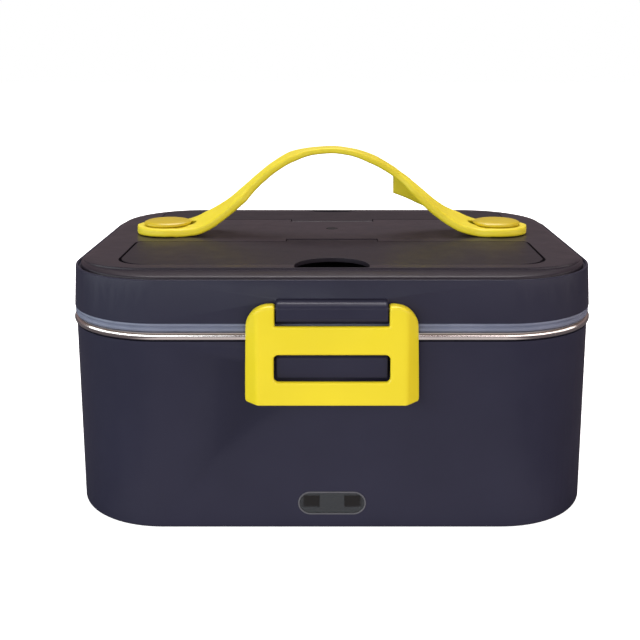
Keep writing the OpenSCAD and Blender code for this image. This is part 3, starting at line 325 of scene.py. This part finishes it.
def softened(node, width, keep=lambda p: True, segments=3, min_edge=0.0, move=None,
             cuts=(), material=None):
    """A copy of a CAD node with its sharp edges rounded.

    keep gives the share of the width that an edge gets, from its middle. move shifts the copy's
    points first, and cuts are solids that are taken away from it."""
    bm = bmesh.new()
    bm.from_mesh(frame["nodes"][node].data)
    for v in bm.verts:
        if move:
            v.co = move(v.co)
    bmesh.ops.remove_doubles(bm, verts=bm.verts, dist=2e-6)
    bmesh.ops.dissolve_limit(bm, angle_limit=math.radians(0.6), verts=bm.verts, edges=bm.edges)
    weight = bm.edges.layers.float.new("bevel_weight_edge")
    for e in bm.edges:
        if len(e.link_faces) != 2 or e.calc_face_angle(0) < math.radians(30):
            continue
        if e.calc_length() >= min_edge:
            e[weight] = float(keep((e.verts[0].co + e.verts[1].co) / 2))
    mesh = bpy.data.meshes.new(node + "_soft")
    bm.to_mesh(mesh)
    bm.free()
    obj = scratch(mesh)
    bevel = obj.modifiers.new("bevel", "BEVEL")
    bevel.width = width
    bevel.segments = segments
    bevel.limit_method = "WEIGHT"
    bevel.use_clamp_overlap = False
    bevel.harden_normals = True
    bevel.miter_outer = "MITER_ARC"
    for polygon in mesh.polygons:
        polygon.use_smooth = True
    mesh.set_sharp_from_angle(angle=math.radians(32))
    result = applied(obj, node + "_soft")
    if cuts:
        result = carved(result, cuts)
    piece = new_object(node + "_detailed", result, material or node_slot[node],
                       node_body[node])
    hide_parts(node)
    return piece


def carved(mesh, cuts):
    """The mesh less the solids in cuts, with normals weighted by face area."""
    obj = scratch(mesh)
    for cutter in cuts:
        cut = obj.modifiers.new("cut", "BOOLEAN")
        cut.operation = "DIFFERENCE"
        cut.solver = "EXACT"
        cut.object = cutter
    result = applied(obj, mesh.name + "_carved")
    for cutter in cuts:
        bpy.data.objects.remove(cutter)
    for polygon in result.polygons:
        polygon.use_smooth = True
    result.set_sharp_from_angle(angle=math.radians(38))
    obj = scratch(result)
    even = obj.modifiers.new("even", "WEIGHTED_NORMAL")
    even.keep_sharp = True
    even.weight = 50
    return applied(obj, mesh.name + "_even")


def ring_outline(half_w, front, rear, front_r, rear_r, steps=20):
    """Points of a rounded rectangle in mm, anticlockwise, as many for any radii."""
    points = []
    for x, y, r, start in ((half_w, rear, rear_r, 0), (-half_w, rear, rear_r, 90),
                           (-half_w, front, front_r, 180), (half_w, front, front_r, 270)):
        cx, cy = x - math.copysign(r, x), y - math.copysign(r, y)
        for k in range(steps + 1):
            a = math.radians(start + 90 * k / steps)
            points.append((cx + r * math.cos(a), cy + r * math.sin(a)))
    return points


def swept_ring(name, sections):
    """Closed ring through sections, each a closed list of (x, y, z) in mm."""
    bm = bmesh.new()
    rings = [[bm.verts.new(Vector(p) * MM) for p in section] for section in sections]
    for a, b in zip(rings, rings[1:] + rings[:1]):
        for k in range(len(a)):
            j = (k + 1) % len(a)
            bm.faces.new((a[k], a[j], b[j], b[k]))
    bmesh.ops.recalc_face_normals(bm, faces=bm.faces)
    mesh = bpy.data.meshes.new(name)
    bm.to_mesh(mesh)
    bm.free()
    return mesh


def lathe(name, profile, centre, steps=96):
    """A closed solid of revolution about a vertical axis, from (radius, height) pairs."""
    bm = bmesh.new()
    rings = []
    for r, z in profile:
        if r < 1e-7:
            rings.append([bm.verts.new((centre[0], centre[1], centre[2] + z))])
            continue
        rings.append([bm.verts.new((centre[0] + r * math.cos(2 * math.pi * k / steps),
                                    centre[1] + r * math.sin(2 * math.pi * k / steps),
                                    centre[2] + z)) for k in range(steps)])
    for a, b in zip(rings, rings[1:]):
        for k in range(steps):
            j = (k + 1) % steps
            corners = [a[k % len(a)], a[j % len(a)], b[j % len(b)], b[k % len(b)]]
            face = [v for i, v in enumerate(corners) if v not in corners[:i]]
            bm.faces.new(face)
    bmesh.ops.recalc_face_normals(bm, faces=bm.faces)
    mesh = bpy.data.meshes.new(name)
    bm.to_mesh(mesh)
    bm.free()
    return mesh


# ---------------------------------------------------------------- strap

pad_low, pad_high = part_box("right_strap_pad")
STRAP_Y = (pad_low.y + pad_high.y) / 2
PAD_T = 4.0 * MM
PAD_R = 15.6 * MM
button_low, button_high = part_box("right_button")
BUTTON_X = (button_low.x + button_high.x) / 2
# Height of the middle of the strap's rear edge, in mm, at places along X
STRAP_LINE = ((-81, 119.0), (-76.5, 119.7), (-73.6, 120.6), (-70, 122.0), (-66, 124.1),
              (-62, 126.3), (-54, 131.4), (-46, 138.0), (-38, 145.1), (-30, 151.6), (-20, 157.2),
              (-10, 159.4), (0, 160.1), (10, 158.9), (20, 155.9), (30, 150.2), (38, 144.4),
              (46, 137.6), (54, 130.8), (62, 125.7), (66, 123.9), (70, 122.0), (73.6, 120.6),
              (76.5, 119.7), (81, 119.0))
# How far the strap leans, front edge down, in degrees, at places along X in mm
STRAP_LEAN = ((-81, 0), (-77, 2), (-73.6, 4.5), (-70, 7), (-66, 8.2), (-62, 8.2), (-54, 6.3),
              (-46, 5.8), (-38, 3.8), (-30, 4), (-20, 4.3), (-10, 0.6), (0, 0), (10, 0.4),
              (20, 3.6), (30, 1.4), (38, 1.4), (46, 4.5), (54, 5), (62, 6), (66, 7), (70, 5.6),
              (73.6, 4), (77, 2), (81, 0))
LEG_HALF_W = 11 * MM
GRIP_HALF_W = 7 * MM
WING_X = 33 * MM          # where the wide right leg starts, with its rear wing hanging
WING_END_X = 62 * MM
WING_DROP = 12.9 * MM     # length of the hanging part at its start
WING_TAPER = 0.39         # how much shorter it gets per length along X
WING_BEND_R = 1.6 * MM
WING_BEND = math.radians(84)
WING_UNBEND_X = 50 * MM   # from here on the fold opens out
SLOT_HALF_W = 4.3 * MM
SLOT_X = (70.5 * MM, 90.3 * MM)


def smooth_step(t):
    t = min(1.0, max(0.0, t))
    return t * t * (3 - 2 * t)


def tangents(points):
    """Slopes of a smooth curve through points that never overshoots them."""
    slopes = [(b[1] - a[1]) / (b[0] - a[0]) for a, b in zip(points, points[1:])]
    inner = [0.0 if u * v <= 0 else 2 * u * v / (u + v) for u, v in zip(slopes, slopes[1:])]
    return [0.0] + inner + [0.0]


STRAP_SLOPES = tangents(STRAP_LINE)


def strap_path(x):
    """Height of the strap's middle and the angle at which it rises along +X."""
    x = x / MM
    if abs(x) >= STRAP_LINE[-1][0]:
        return STRAP_LINE[-1][1] * MM, 0.0
    i = max(k for k in range(len(STRAP_LINE) - 1) if STRAP_LINE[k][0] <= x)
    (x0, z0), (x1, z1) = STRAP_LINE[i], STRAP_LINE[i + 1]
    m0, m1 = STRAP_SLOPES[i], STRAP_SLOPES[i + 1]
    w = x1 - x0
    t = (x - x0) / w
    z = ((2 * t ** 3 - 3 * t ** 2 + 1) * z0 + (t ** 3 - 2 * t ** 2 + t) * w * m0
         + (3 * t ** 2 - 2 * t ** 3) * z1 + (t ** 3 - t ** 2) * w * m1)
    slope = ((6 * t ** 2 - 6 * t) * (z0 - z1) / w + (3 * t ** 2 - 4 * t + 1) * m0
             + (3 * t ** 2 - 2 * t) * m1)
    return z * MM, math.atan(slope)


def strap_thickness(x):
    return float(np.interp(x / MM, (-60, -46, -30, -16, -6, 8, 18, 30, 46, 60),
                           (4.0, 4.3, 3.5, 3.2, 2.8, 2.8, 3.1, 3.4, 4.2, 4.0))) * MM


def strap_half_widths(x):
    """Reach of the strap to the front and to the rear of its middle line at x."""
    ax = abs(x)
    leg = LEG_HALF_W + 2.2 * MM * smooth_step((ax - 48 * MM) / (20 * MM))
    if ax > 58 * MM:
        inside = PAD_R ** 2 - (ax - BUTTON_X) ** 2
        disc = math.sqrt(inside) if inside > 0 else 0.0
        if ax >= BUTTON_X:
            return disc, disc
        k = 5 * MM
        h = max(k - abs(disc - leg), 0) / k
        return (max(disc, leg) + h * h * k / 4,) * 2
    grow = leg - GRIP_HALF_W
    if x < 0:
        front = GRIP_HALF_W + grow * smooth_step((-42 * MM - x) / (5 * MM))
        rear = GRIP_HALF_W + grow * smooth_step((-12 * MM - x) / (10 * MM))
        return front, rear
    front = GRIP_HALF_W + grow * smooth_step((x - WING_X) / (10 * MM))
    if x < WING_X:
        return front, GRIP_HALF_W
    return front, max(leg * smooth_step((x - WING_X) / (20 * MM)), wing_fold(x) + wing_drop(x))


def wing_drop(x):
    """Length of the rear wing's hanging part."""
    if x < WING_X:
        return 0.0
    return WING_DROP - WING_TAPER * (x - WING_X) if x < WING_END_X else 0.0


def wing_fold(x):
    """Distance of the wing's fold behind the strap's middle line."""
    return 5.5 * MM + 4 * MM * smooth_step((x - WING_X) / (WING_END_X - WING_X))


def strap_section(x):
    """Closed ring of points round the strap at x."""
    z, slope = strap_path(x)
    front, rear = strap_half_widths(x)
    front, rear = max(front, 0.05 * MM), max(rear, 0.05 * MM)
    half = strap_thickness(x) / 2
    edge = min(0.75 * half, front * 0.8, rear * 0.8)
    ring = []
    split = min(5 * MM, (rear - edge) * 0.7)
    across = ([-(front - edge) + (front - edge + split) * i / 9 for i in range(9)]
              + [split + (rear - edge - split) * i / 9 for i in range(10)])
    corner = [math.radians(a) for a in (15, 30, 45, 60, 75)]
    for v in across:
        ring.append((v, half))
    for a in corner:
        ring.append((rear - edge + edge * math.sin(a), half - edge + edge * math.cos(a)))
    ring.append((rear, half - edge))
    ring.append((rear, edge - half))
    for a in reversed(corner):
        ring.append((rear - edge + edge * math.sin(a), -(half - edge + edge * math.cos(a))))
    for v in reversed(across):
        ring.append((v, -half))
    for a in corner:
        ring.append((-(front - edge + edge * math.sin(a)), -(half - edge + edge * math.cos(a))))
    ring.append((-front, edge - half))
    ring.append((-front, half - edge))
    for a in reversed(corner):
        ring.append((-(front - edge + edge * math.sin(a)), half - edge + edge * math.cos(a)))
    lean = math.radians(float(np.interp(x / MM, *zip(*STRAP_LEAN))))
    fold = wing_fold(x)
    opening = smooth_step((x - WING_UNBEND_X) / (WING_END_X - WING_UNBEND_X))
    bend = WING_BEND * (1 - opening)
    hanging = wing_drop(x) > 0 and bend > 0
    up = Vector((-math.sin(slope), 0, math.cos(slope)))
    side = Vector((0, 1, 0))
    side, up = (side * math.cos(lean) + up * math.sin(lean),
                up * math.cos(lean) - side * math.sin(lean))
    pivot = min(rear, LEG_HALF_W)
    middle = Vector((x, STRAP_Y + pivot, z)) - side * pivot
    points = []
    for v, n in ring:
        drop = 0.0
        if hanging and v > fold:
            a = min((v - fold) / WING_BEND_R, bend)
            rest = v - fold - a * WING_BEND_R
            v = fold + (WING_BEND_R + n) * math.sin(a) + rest * math.cos(a)
            n = (WING_BEND_R + n) * math.cos(a) - WING_BEND_R
            drop = rest * math.sin(a)
        points.append(middle + side * v + up * n - Vector((0, 0, drop)))
    return points


def strap_stations(sign):
    """Places along X at which the strap's half has a section, from the middle to its end."""
    xs = list(np.linspace(0, 58, 59)) + list(np.linspace(59, 85, 27))
    special = [32.0, 32.5, 32.9, 33.0, 33.3, 33.7, 34.2] if sign > 0 else [0]
    xs = sorted(set([x for x in xs if min(abs(x - s) for s in special) > 0.35] + special))
    end = [BUTTON_X / MM + PAD_R / MM * math.sin(math.radians(a)) for a in range(3, 88, 4)]
    end.append(BUTTON_X / MM + PAD_R / MM * math.sin(math.radians(89)))
    return [sign * x * MM for x in xs + end]


def capsule_prism(x0, x1, half_w, z0, z1):
    """Closed prism of a capsule outline, for cutting the strap's slot."""
    lo, hi = min(x0, x1), max(x0, x1)
    outline = []
    for k in range(25):
        a = math.radians(-90 + 180 * k / 24)
        outline.append((hi - half_w + half_w * math.cos(a), STRAP_Y + half_w * math.sin(a)))
    for k in range(25):
        a = math.radians(90 + 180 * k / 24)
        outline.append((lo + half_w + half_w * math.cos(a), STRAP_Y + half_w * math.sin(a)))
    bm = bmesh.new()
    low = [bm.verts.new((x, y, z0)) for x, y in outline]
    high = [bm.verts.new((x, y, z1)) for x, y in outline]
    bm.faces.new(low[::-1])
    bm.faces.new(high)
    for k in range(len(outline)):
        j = (k + 1) % len(outline)
        bm.faces.new((low[k], low[j], high[j], high[k]))
    bmesh.ops.recalc_face_normals(bm, faces=bm.faces)
    mesh = bpy.data.meshes.new("slot_cutter")
    bm.to_mesh(mesh)
    bm.free()
    return mesh


def strap_half(name, sign, nodes):
    bm = bmesh.new()
    rings = [[bm.verts.new(p) for p in strap_section(x)] for x in strap_stations(sign)]
    for a, b in zip(rings, rings[1:]):
        for k in range(len(a)):
            j = (k + 1) % len(a)
            bm.faces.new((a[k], a[j], b[j], b[k]))
    bm.faces.new(rings[0])
    bm.faces.new(rings[-1][::-1])
    bmesh.ops.recalc_face_normals(bm, faces=bm.faces)
    mesh = bpy.data.meshes.new(name)
    bm.to_mesh(mesh)
    bm.free()
    body = scratch(mesh)
    cutter = scratch(capsule_prism(sign * SLOT_X[0], sign * SLOT_X[1], SLOT_HALF_W,
                                   pad_low.z - 2 * MM, pad_low.z + 9 * MM))
    cut = body.modifiers.new("slot", "BOOLEAN")
    cut.operation = "DIFFERENCE"
    cut.solver = "EXACT"
    cut.object = cutter
    mesh = applied(body, name)
    bpy.data.objects.remove(cutter)
    obj = new_object(name, mesh, "strap_yellow")
    mesh.set_sharp_from_angle(angle=math.radians(40))
    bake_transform(obj)
    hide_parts(*nodes)
    return obj


strap_half("strap_right_half", 1, ["right_strap_pad", "right_strap_leg", "strap_grip"])
strap_half("strap_left_half", -1, ["left_strap_pad", "left_strap_leg"])

# Buttons: a slightly domed disc with a rolled edge and a shallow ring, on its stem
for name in ("left_button", "right_button"):
    low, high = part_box(name)
    cx, cy = (low.x + high.x) / 2, (low.y + high.y) / 2
    disc_r = (high.x - low.x) / 2
    disc_z = pad_low.z + PAD_T + 0.3 * MM
    stem_r = 4 * MM
    top = high.z - disc_z
    profile = [(0, low.z - disc_z), (stem_r + 1.8 * MM, low.z - disc_z),
               (stem_r + 1.8 * MM, low.z - disc_z + 1.6 * MM), (stem_r, low.z - disc_z + 1.6 * MM),
               (stem_r, 0), (disc_r - 0.8 * MM, 0)]
    edge_r = 0.8 * MM
    profile += [(disc_r - edge_r + edge_r * math.cos(math.radians(a)),
                 edge_r + edge_r * math.sin(math.radians(a))) for a in range(-75, 46, 15)]
    profile += [(disc_r - 1.15 * MM, top - 0.62 * MM), (disc_r - 1.9 * MM, top - 0.42 * MM),
                (disc_r - 3.4 * MM, top - 0.24 * MM), (disc_r * 0.55, top - 0.07 * MM),
                (disc_r * 0.3, top - 0.01 * MM), (0, top)]
    mesh = lathe(name + "_detailed", profile, (cx, cy, disc_z))
    mesh.set_sharp_from_angle(angle=math.radians(50))
    obj = new_object(name + "_detailed", mesh, "button", "lid")
    mesh.set_sharp_from_angle(angle=math.radians(50))
    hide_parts(name)

# ---------------------------------------------------------------- rounded copies of the mouldings

PIVOT = (94.2 * MM, 102.2 * MM)


def clear_of_bore(p):
    """False near the latch pin's bore, whose edges stay sharp."""
    return math.hypot(abs(p.y) - PIVOT[0], p.z - PIVOT[1]) > 1.6 * MM


def frame_edges(p):
    """The top of the front lug is rounder than the other edges."""
    on_lug = p.y < -90.5 * MM and p.z > 99 * MM and abs(p.x) < 26 * MM
    return (0.9 if on_lug else 0.28) * clear_of_bore(p)


def lower_lip(p):
    """The skirt's lip stands a little lower than in the plain node."""
    return Vector((p.x, p.y, p.z - 0.2 * max(0.0, p.z - 112.6 * MM)))


softened("lid_frame", 1.15 * MM, keep=frame_edges, min_edge=0.3 * MM, move=lower_lip)

# The indicator window sits a little higher and is lower than the plain hole
WINDOW_Z, WINDOW_RISE, WINDOW_SQUEEZE = 12.4 * MM, 0.85 * MM, 0.955


def raised(p):
    if abs(p.x) < 16 * MM and p.y < -70 * MM and 5 * MM < p.z < 20 * MM:
        return Vector((p.x, p.y, WINDOW_Z + WINDOW_RISE + (p.z - WINDOW_Z) * WINDOW_SQUEEZE))
    return p


softened("outer_housing", 0.5 * MM, move=raised, segments=3,
         keep=lambda p: p.y < -88.9 * MM and 70 * MM < p.z < 85 * MM and abs(p.x) < 26 * MM)
for name in ("indicator_bezel", "indicator_lens", "indicator_frame", "indicator_leds"):
    softened(name, 0.12 * MM, move=raised, segments=2,
             keep=lambda p: p.y < -85 * MM and name == "indicator_bezel", min_edge=0.1 * MM)

# Cover: a raised panel with a cove round it that is wide at the front. COVE holds, for each
# point of its profile, a distance from the panel and a height in mm, and a share of the width.
COVER_TOP = 116.7
panel = ring_outline(114.4, -75.9, 83.6, 29, 38)
edge = ring_outline(116.4, -86.4, 86.4, 41.4, 41.4)
COVE = ((-0.4, 0.05, 0), (-0.2, -0.02, 0), (-0.05, -0.1, 0), (0.08, -0.25, 0), (0.18, -0.45, 0),
        (0.28, -0.7, 0), (0.38, -0.92, 0), (0.5, -1.04, 0), (0.7, -1.1, 0.01), (1.0, -1.12, 0.08),
        (1.0, -1.13, 0.16), (1.0, -1.17, 0.24), (1.0, -1.22, 0.32), (1.0, -1.3, 0.4),
        (1.0, -1.4, 0.48), (1.0, -1.51, 0.56), (1.0, -1.64, 0.64), (1.0, -1.75, 0.7),
        (1.0, -1.88, 0.76), (1.0, -2.0, 0.81), (1.0, -2.13, 0.845), (1.0, -2.32, 0.87),
        (1.0, -2.6, 0.885), (1.0, -3.3, 0.89))
sections = []
for (px, py), (ex, ey) in zip(panel, edge):
    out = Vector((ex - px, ey - py))
    width = out.length
    out = out / width
    section = []
    for near, height, share in COVE:
        reach = min(near, 0.5 * width) + share * (width - 0.9 * min(1.0, near))
        section.append((px + out.x * reach, py + out.y * reach, COVER_TOP + height))
    section.append((ex + out.x * 0.9, ey + out.y * 0.9, COVER_TOP - 3.4))
    section.append((ex + out.x * 0.9, ey + out.y * 0.9, COVER_TOP + 1))
    section.append((px - out.x * 0.3, py - out.y * 0.3, COVER_TOP + 1))
    sections.append(section)
cove = scratch(swept_ring("cove", sections))
softened("lid_cover", 0.01 * MM, keep=lambda p: False, cuts=(cove,))


def narrower(p):
    """The front flap's sides are further in, with rounder front corners."""
    x = abs(p.x)
    y = p.y / MM
    if x < 60 * MM:
        return p
    limit = 96.3
    if y < -54.2:
        limit = 81.3 + math.sqrt(max(0.0, 15 ** 2 - (y + 54.2) ** 2))
    return Vector((math.copysign(min(x, limit * MM), p.x), p.y, p.z))


softened("front_flap", 0.2 * MM, keep=lambda p: abs(p.y + 12) > 3.5 * MM and p.y < -20 * MM,
         move=narrower, segments=2, min_edge=0.1 * MM, material="flap")
softened("rear_flap", 0.2 * MM, keep=lambda p: False, material="flap")

# Seal: two soft ridges between the skirt and the rim
SEAL = ((-0.5, 95.2), (-0.32, 94.95), (-0.2, 94.6), (-0.2, 94.3), (-0.35, 93.95), (-0.62, 93.72),
        (-0.8, 93.5), (-0.7, 93.3), (-0.45, 93.1), (-0.3, 92.8), (-0.28, 92.3), (-0.4, 91.9),
        (-0.7, 91.6), (-1.1, 91.52), (-3, 91.55), (-12.7, 91.8), (-15.6, 88.8), (-15.6, 90.8),
        (-15.6, 95.2))
outer = ring_outline(119.7, -89.7, 89.7, 44.7, 44.7)
inner = ring_outline(99.7, -69.7, 69.7, 24.7, 24.7)
sections = []
for (ox, oy), (ix, iy) in zip(outer, inner):
    out = Vector((ox - ix, oy - iy)) / 20
    sections.append([(ox + out.x * a, oy + out.y * a, z) for a, z in SEAL])
mesh = swept_ring("gasket_detailed", sections)
seal = new_object("gasket_detailed", mesh, "seal", "lid")
mesh.set_sharp_from_angle(angle=math.radians(60))
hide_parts("gasket")


# ---------------------------------------------------------------- latches

def rounded_meet(a, b, r):
    """Distance to the part where both a and b are negative, its edge rounded with radius r."""
    u, v = a + r, b + r
    return np.minimum(np.maximum(u, v), 0) + np.hypot(np.maximum(u, 0), np.maximum(v, 0)) - r


def surface_net(field, origin, step):
    """Closed mesh of a field's zero surface on a grid, as points and quads."""
    inside = field < 0
    total = np.zeros(tuple(n - 1 for n in field.shape) + (3,))
    count = np.zeros(tuple(n - 1 for n in field.shape))
    for axis in range(3):
        low = [slice(None)] * 3
        high = [slice(None)] * 3
        low[axis], high[axis] = slice(0, -1), slice(1, None)
        a, b = field[tuple(low)], field[tuple(high)]
        crossing = inside[tuple(low)] != inside[tuple(high)]
        part = np.where(crossing, a / np.where(crossing, a - b, 1), 0)
        others = [k for k in range(3) if k != axis]
        for i in (0, 1):
            for j in (0, 1):
                cut = [slice(None)] * 3
                cut[others[0]] = slice(i, field.shape[others[0]] - 1 + i)
                cut[others[1]] = slice(j, field.shape[others[1]] - 1 + j)
                hit = crossing[tuple(cut)]
                count += hit
                total[..., axis] += part[tuple(cut)]
                total[..., others[0]] += hit * i
                total[..., others[1]] += hit * j
    used = count > 0
    index = np.full(count.shape, -1)
    index[used] = np.arange(int(used.sum()))
    cells = np.argwhere(used)
    points = origin + step * (cells + total[used] / count[used][:, None])
    quads = []
    for axis in range(3):
        u, v = (axis + 1) % 3, (axis + 2) % 3
        low = [slice(1, -1)] * 3
        high = [slice(1, -1)] * 3
        low[axis], high[axis] = slice(0, -1), slice(1, None)
        a, b = inside[tuple(low)], inside[tuple(high)]
        for flip in (False, True):
            place = np.argwhere((a & ~b) if not flip else (~a & b))
            place[:, u] += 1
            place[:, v] += 1
            corners = []
            for du, dv in ((0, 0), (-1, 0), (-1, -1), (0, -1)):
                at = place.copy()
                at[:, u] += du
                at[:, v] += dv
                corners.append(index[at[:, 0], at[:, 1], at[:, 2]])
            quads.append(np.stack(corners[::-1] if flip else corners, axis=1))
    return points, np.concatenate(quads)


def latch_mesh(name, turned):
    """The front latch's moulding with soft edges, from distances in mm. turned: at the back."""
    face_y, pivot_y, pivot_z = -97.9, -94.2, 102.2
    step = 0.4
    xs = np.arange(-39.15, 39.2, step)
    ys = np.arange(-98.8, -89.9, step)
    zs = np.arange(61.0, 106.0, step)
    x, y, z = np.meshgrid(xs, ys, zs, indexing="ij")
    ax = np.abs(x)
    # Section seen from above: a face with slanted sides, 2.4 thick
    flank = math.atan2(6.6, 6.1)
    slanted = (ax - 31.9) * math.sin(flank) - (y - face_y) * math.cos(flank)
    filled = rounded_meet(face_y - y, slanted, 1.0)
    shell = np.abs(filled + 1.2) - 1.2
    panel = rounded_meet(shell, y + 91.3, 0.7)
    # Ears round the pivot
    ear = rounded_meet(np.hypot(y - pivot_y, z - pivot_z) - 4.2, filled, 0.5)
    body = np.minimum(np.maximum(panel, z - pivot_z), ear)
    # Front view: sides that widen downwards, large upper and small lower corners
    lean = math.atan2(1.0, 32.3)
    side = (ax - 37) * math.cos(lean) - (94.2 - z) * math.sin(lean)
    front = np.maximum(rounded_meet(side, z - 104.8, 10.6), rounded_meet(side, 61.4 - z, 1.8))
    gap = np.maximum(ax - 24.1, 96.2 - z)
    front = rounded_meet(front, -gap, 1.3)
    u, v = ax - 24.6 + 2, np.abs(z - 77.85) - 5.85 + 2
    slot = np.minimum(np.maximum(u, v), 0) + np.hypot(np.maximum(u, 0), np.maximum(v, 0)) - 2
    front = np.maximum(front, -slot)
    field = rounded_meet(body, front, 1.0)
    bore = np.maximum(np.hypot(y - pivot_y, z - pivot_z) - 1.3, ax - 30.9)
    field = np.maximum(field, -bore)
    points, quads = surface_net(field, np.array((xs[0], ys[0], zs[0])), step)
    if turned:
        points[:, :2] *= -1
    mesh = bpy.data.meshes.new(name)
    mesh.from_pydata((points * MM).tolist(), [], quads.tolist())
    mesh.update()
    body = scratch(mesh)
    thin = body.modifiers.new("thin", "DECIMATE")
    thin.ratio = 0.3
    return applied(body, name)


for name in ("front_latch", "rear_latch"):
    mesh = latch_mesh(name + "_detailed", name == "rear_latch")
    obj = new_object(name + "_detailed", mesh, "latch_yellow", node_body[name])
    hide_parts(name)

# Latch pins with chamfered ends that stay inside the ears
PIN_HALF, PIN_CHAMFER = 30.6 * MM, 0.3 * MM
for name in ("front_latch_pin", "rear_latch_pin"):
    low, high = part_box(name)
    middle = (low + high) / 2
    r, straight = (high.z - low.z) / 2, PIN_HALF - PIN_CHAMFER
    profile = [(0, -PIN_HALF), (r - PIN_CHAMFER, -PIN_HALF), (r, -straight), (r, straight),
               (r - PIN_CHAMFER, PIN_HALF), (0, PIN_HALF)]
    mesh = lathe(name + "_detailed", profile, (0, 0, 0), steps=32)
    mesh.transform(Matrix.Translation(middle) @ Matrix.Rotation(math.pi / 2, 4, "Y"))
    obj = new_object(name + "_detailed", mesh, "latch_pin", node_body[name])
    mesh.set_sharp_from_angle(angle=math.radians(30))
    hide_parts(name)

# ---------------------------------------------------------------- stage

def area_light(name, place, aim, size, power, color=(1, 1, 1)):
    data = bpy.data.lights.new(name, "AREA")
    data.shape = "RECTANGLE"
    data.size, data.size_y = size
    data.energy = power
    data.color = color
    light = bpy.data.objects.new(name, data)
    scene.collection.objects.link(light)
    light.location = place
    light.rotation_euler = (Vector(aim) - Vector(place)).to_track_quat("-Z", "Y").to_euler()
    return light


mesh = bpy.data.meshes.new("floor")
size = 6.0
mesh.from_pydata([(-size, -size, 0), (size, -size, 0), (size, size, 0), (-size, size, 0)], [],
                 [(0, 1, 2, 3)])
floor = bpy.data.objects.new("floor", mesh)
scene.collection.objects.link(floor)
m = Builder("floor_paper", (0.93, 0.93, 0.93, 1), 0.9)
m.vary_color(m.noise(3, 2), (0.925, 0.925, 0.925, 1), (0.935, 0.935, 0.935, 1))
m.shader.inputs["Emission Color"].default_value = (1, 1, 1, 1)
m.shader.inputs["Emission Strength"].default_value = 1.0
# In reflections the floor is dim but for a patch before the object, as between dark studio flags
nodes = m.tree.nodes
place = m.separate()
patch = m.math("MULTIPLY", m.fade(m.math("ABSOLUTE", place["X"]), (0.15, 0.1)),
               m.math("MULTIPLY", m.fade(place["Y"], (-0.07, -0.11)),
                      m.fade(place["Y"], (-0.5, -0.25))))
dim = nodes.new("ShaderNodeBsdfDiffuse")
dim.inputs["Color"].default_value = (0.12, 0.11, 0.12, 1)
glow = nodes.new("ShaderNodeEmission")
glow.inputs["Color"].default_value = (0.56, 0.52, 0.52, 1)
m.link(patch, glow.inputs["Strength"])
both = nodes.new("ShaderNodeAddShader")
m.link(dim.outputs[0], both.inputs[0])
m.link(glow.outputs[0], both.inputs[1])
seen = nodes.new("ShaderNodeLightPath")
choice = nodes.new("ShaderNodeMixShader")
m.link(seen.outputs["Is Camera Ray"], choice.inputs["Fac"])
m.link(both.outputs[0], choice.inputs[1])
m.link(m.shader.outputs[0], choice.inputs[2])
m.link(choice.outputs[0], nodes["Material Output"].inputs["Surface"])
mesh.materials.append(m.material)

# A studio that is white behind the object, with dim brownish walls and ceiling
world = bpy.data.worlds.new("studio")
scene.world = world
world.use_nodes = True
tree = world.node_tree
background = tree.nodes["Background"]
coords = tree.nodes.new("ShaderNodeTexCoord")
parts = tree.nodes.new("ShaderNodeSeparateXYZ")
ramp = tree.nodes.new("ShaderNodeValToRGB")
tree.links.new(coords.outputs["Generated"], parts.inputs["Vector"])
tree.links.new(parts.outputs["Z"], ramp.inputs["Fac"])
tree.links.new(ramp.outputs["Color"], background.inputs["Color"])
stops = ((0.0, (0.245, 0.182, 0.187)), (0.2, (0.245, 0.182, 0.187)), (0.4, (0.13, 0.10, 0.09)),
         (0.7, (0.16, 0.12, 0.10)), (0.88, (0.4, 0.36, 0.34)), (1.0, (0.55, 0.5, 0.48)))
while len(ramp.color_ramp.elements) < len(stops):
    ramp.color_ramp.elements.new(0.5)
for element, (place, color) in zip(ramp.color_ramp.elements, stops):
    element.position = place
    element.color = color + (1,)
background.inputs["Strength"].default_value = 1.0
white = tree.nodes.new("ShaderNodeBackground")
white.inputs["Color"].default_value = (1, 1, 1, 1)
white.inputs["Strength"].default_value = 1.0
path = tree.nodes.new("ShaderNodeLightPath")
mix = tree.nodes.new("ShaderNodeMixShader")
tree.links.new(path.outputs["Is Camera Ray"], mix.inputs["Fac"])
tree.links.new(background.outputs["Background"], mix.inputs[1])
tree.links.new(white.outputs["Background"], mix.inputs[2])
tree.links.new(mix.outputs["Shader"], tree.nodes["World Output"].inputs["Surface"])

area_light("front_left", (-1.2, -1.6, 0.5), (0, -0.1, 0.1), (2.1, 0.85), 24.5, (0.9, 0.97, 1.0))
area_light("front_right", (1.2, -1.6, 0.5), (0, -0.1, 0.1), (2.1, 0.85), 17, (1.0, 0.91, 0.92))
area_light("rear_top", (0.0, 0.6, 1.45), (0, 0, 0.1), (0.9, 0.8), 18, (1.0, 0.96, 0.97))
area_light("left_side", (-1.7, -0.2, 0.35), (0, 0, 0.05), (1.0, 0.8), 7, (0.9, 0.97, 1.0))
area_light("right_side", (1.7, -0.2, 0.35), (0, 0, 0.05), (1.0, 0.8), 5, (1.0, 0.93, 0.9))

scene.view_settings.view_transform = "Standard"
scene.view_settings.look = "None"
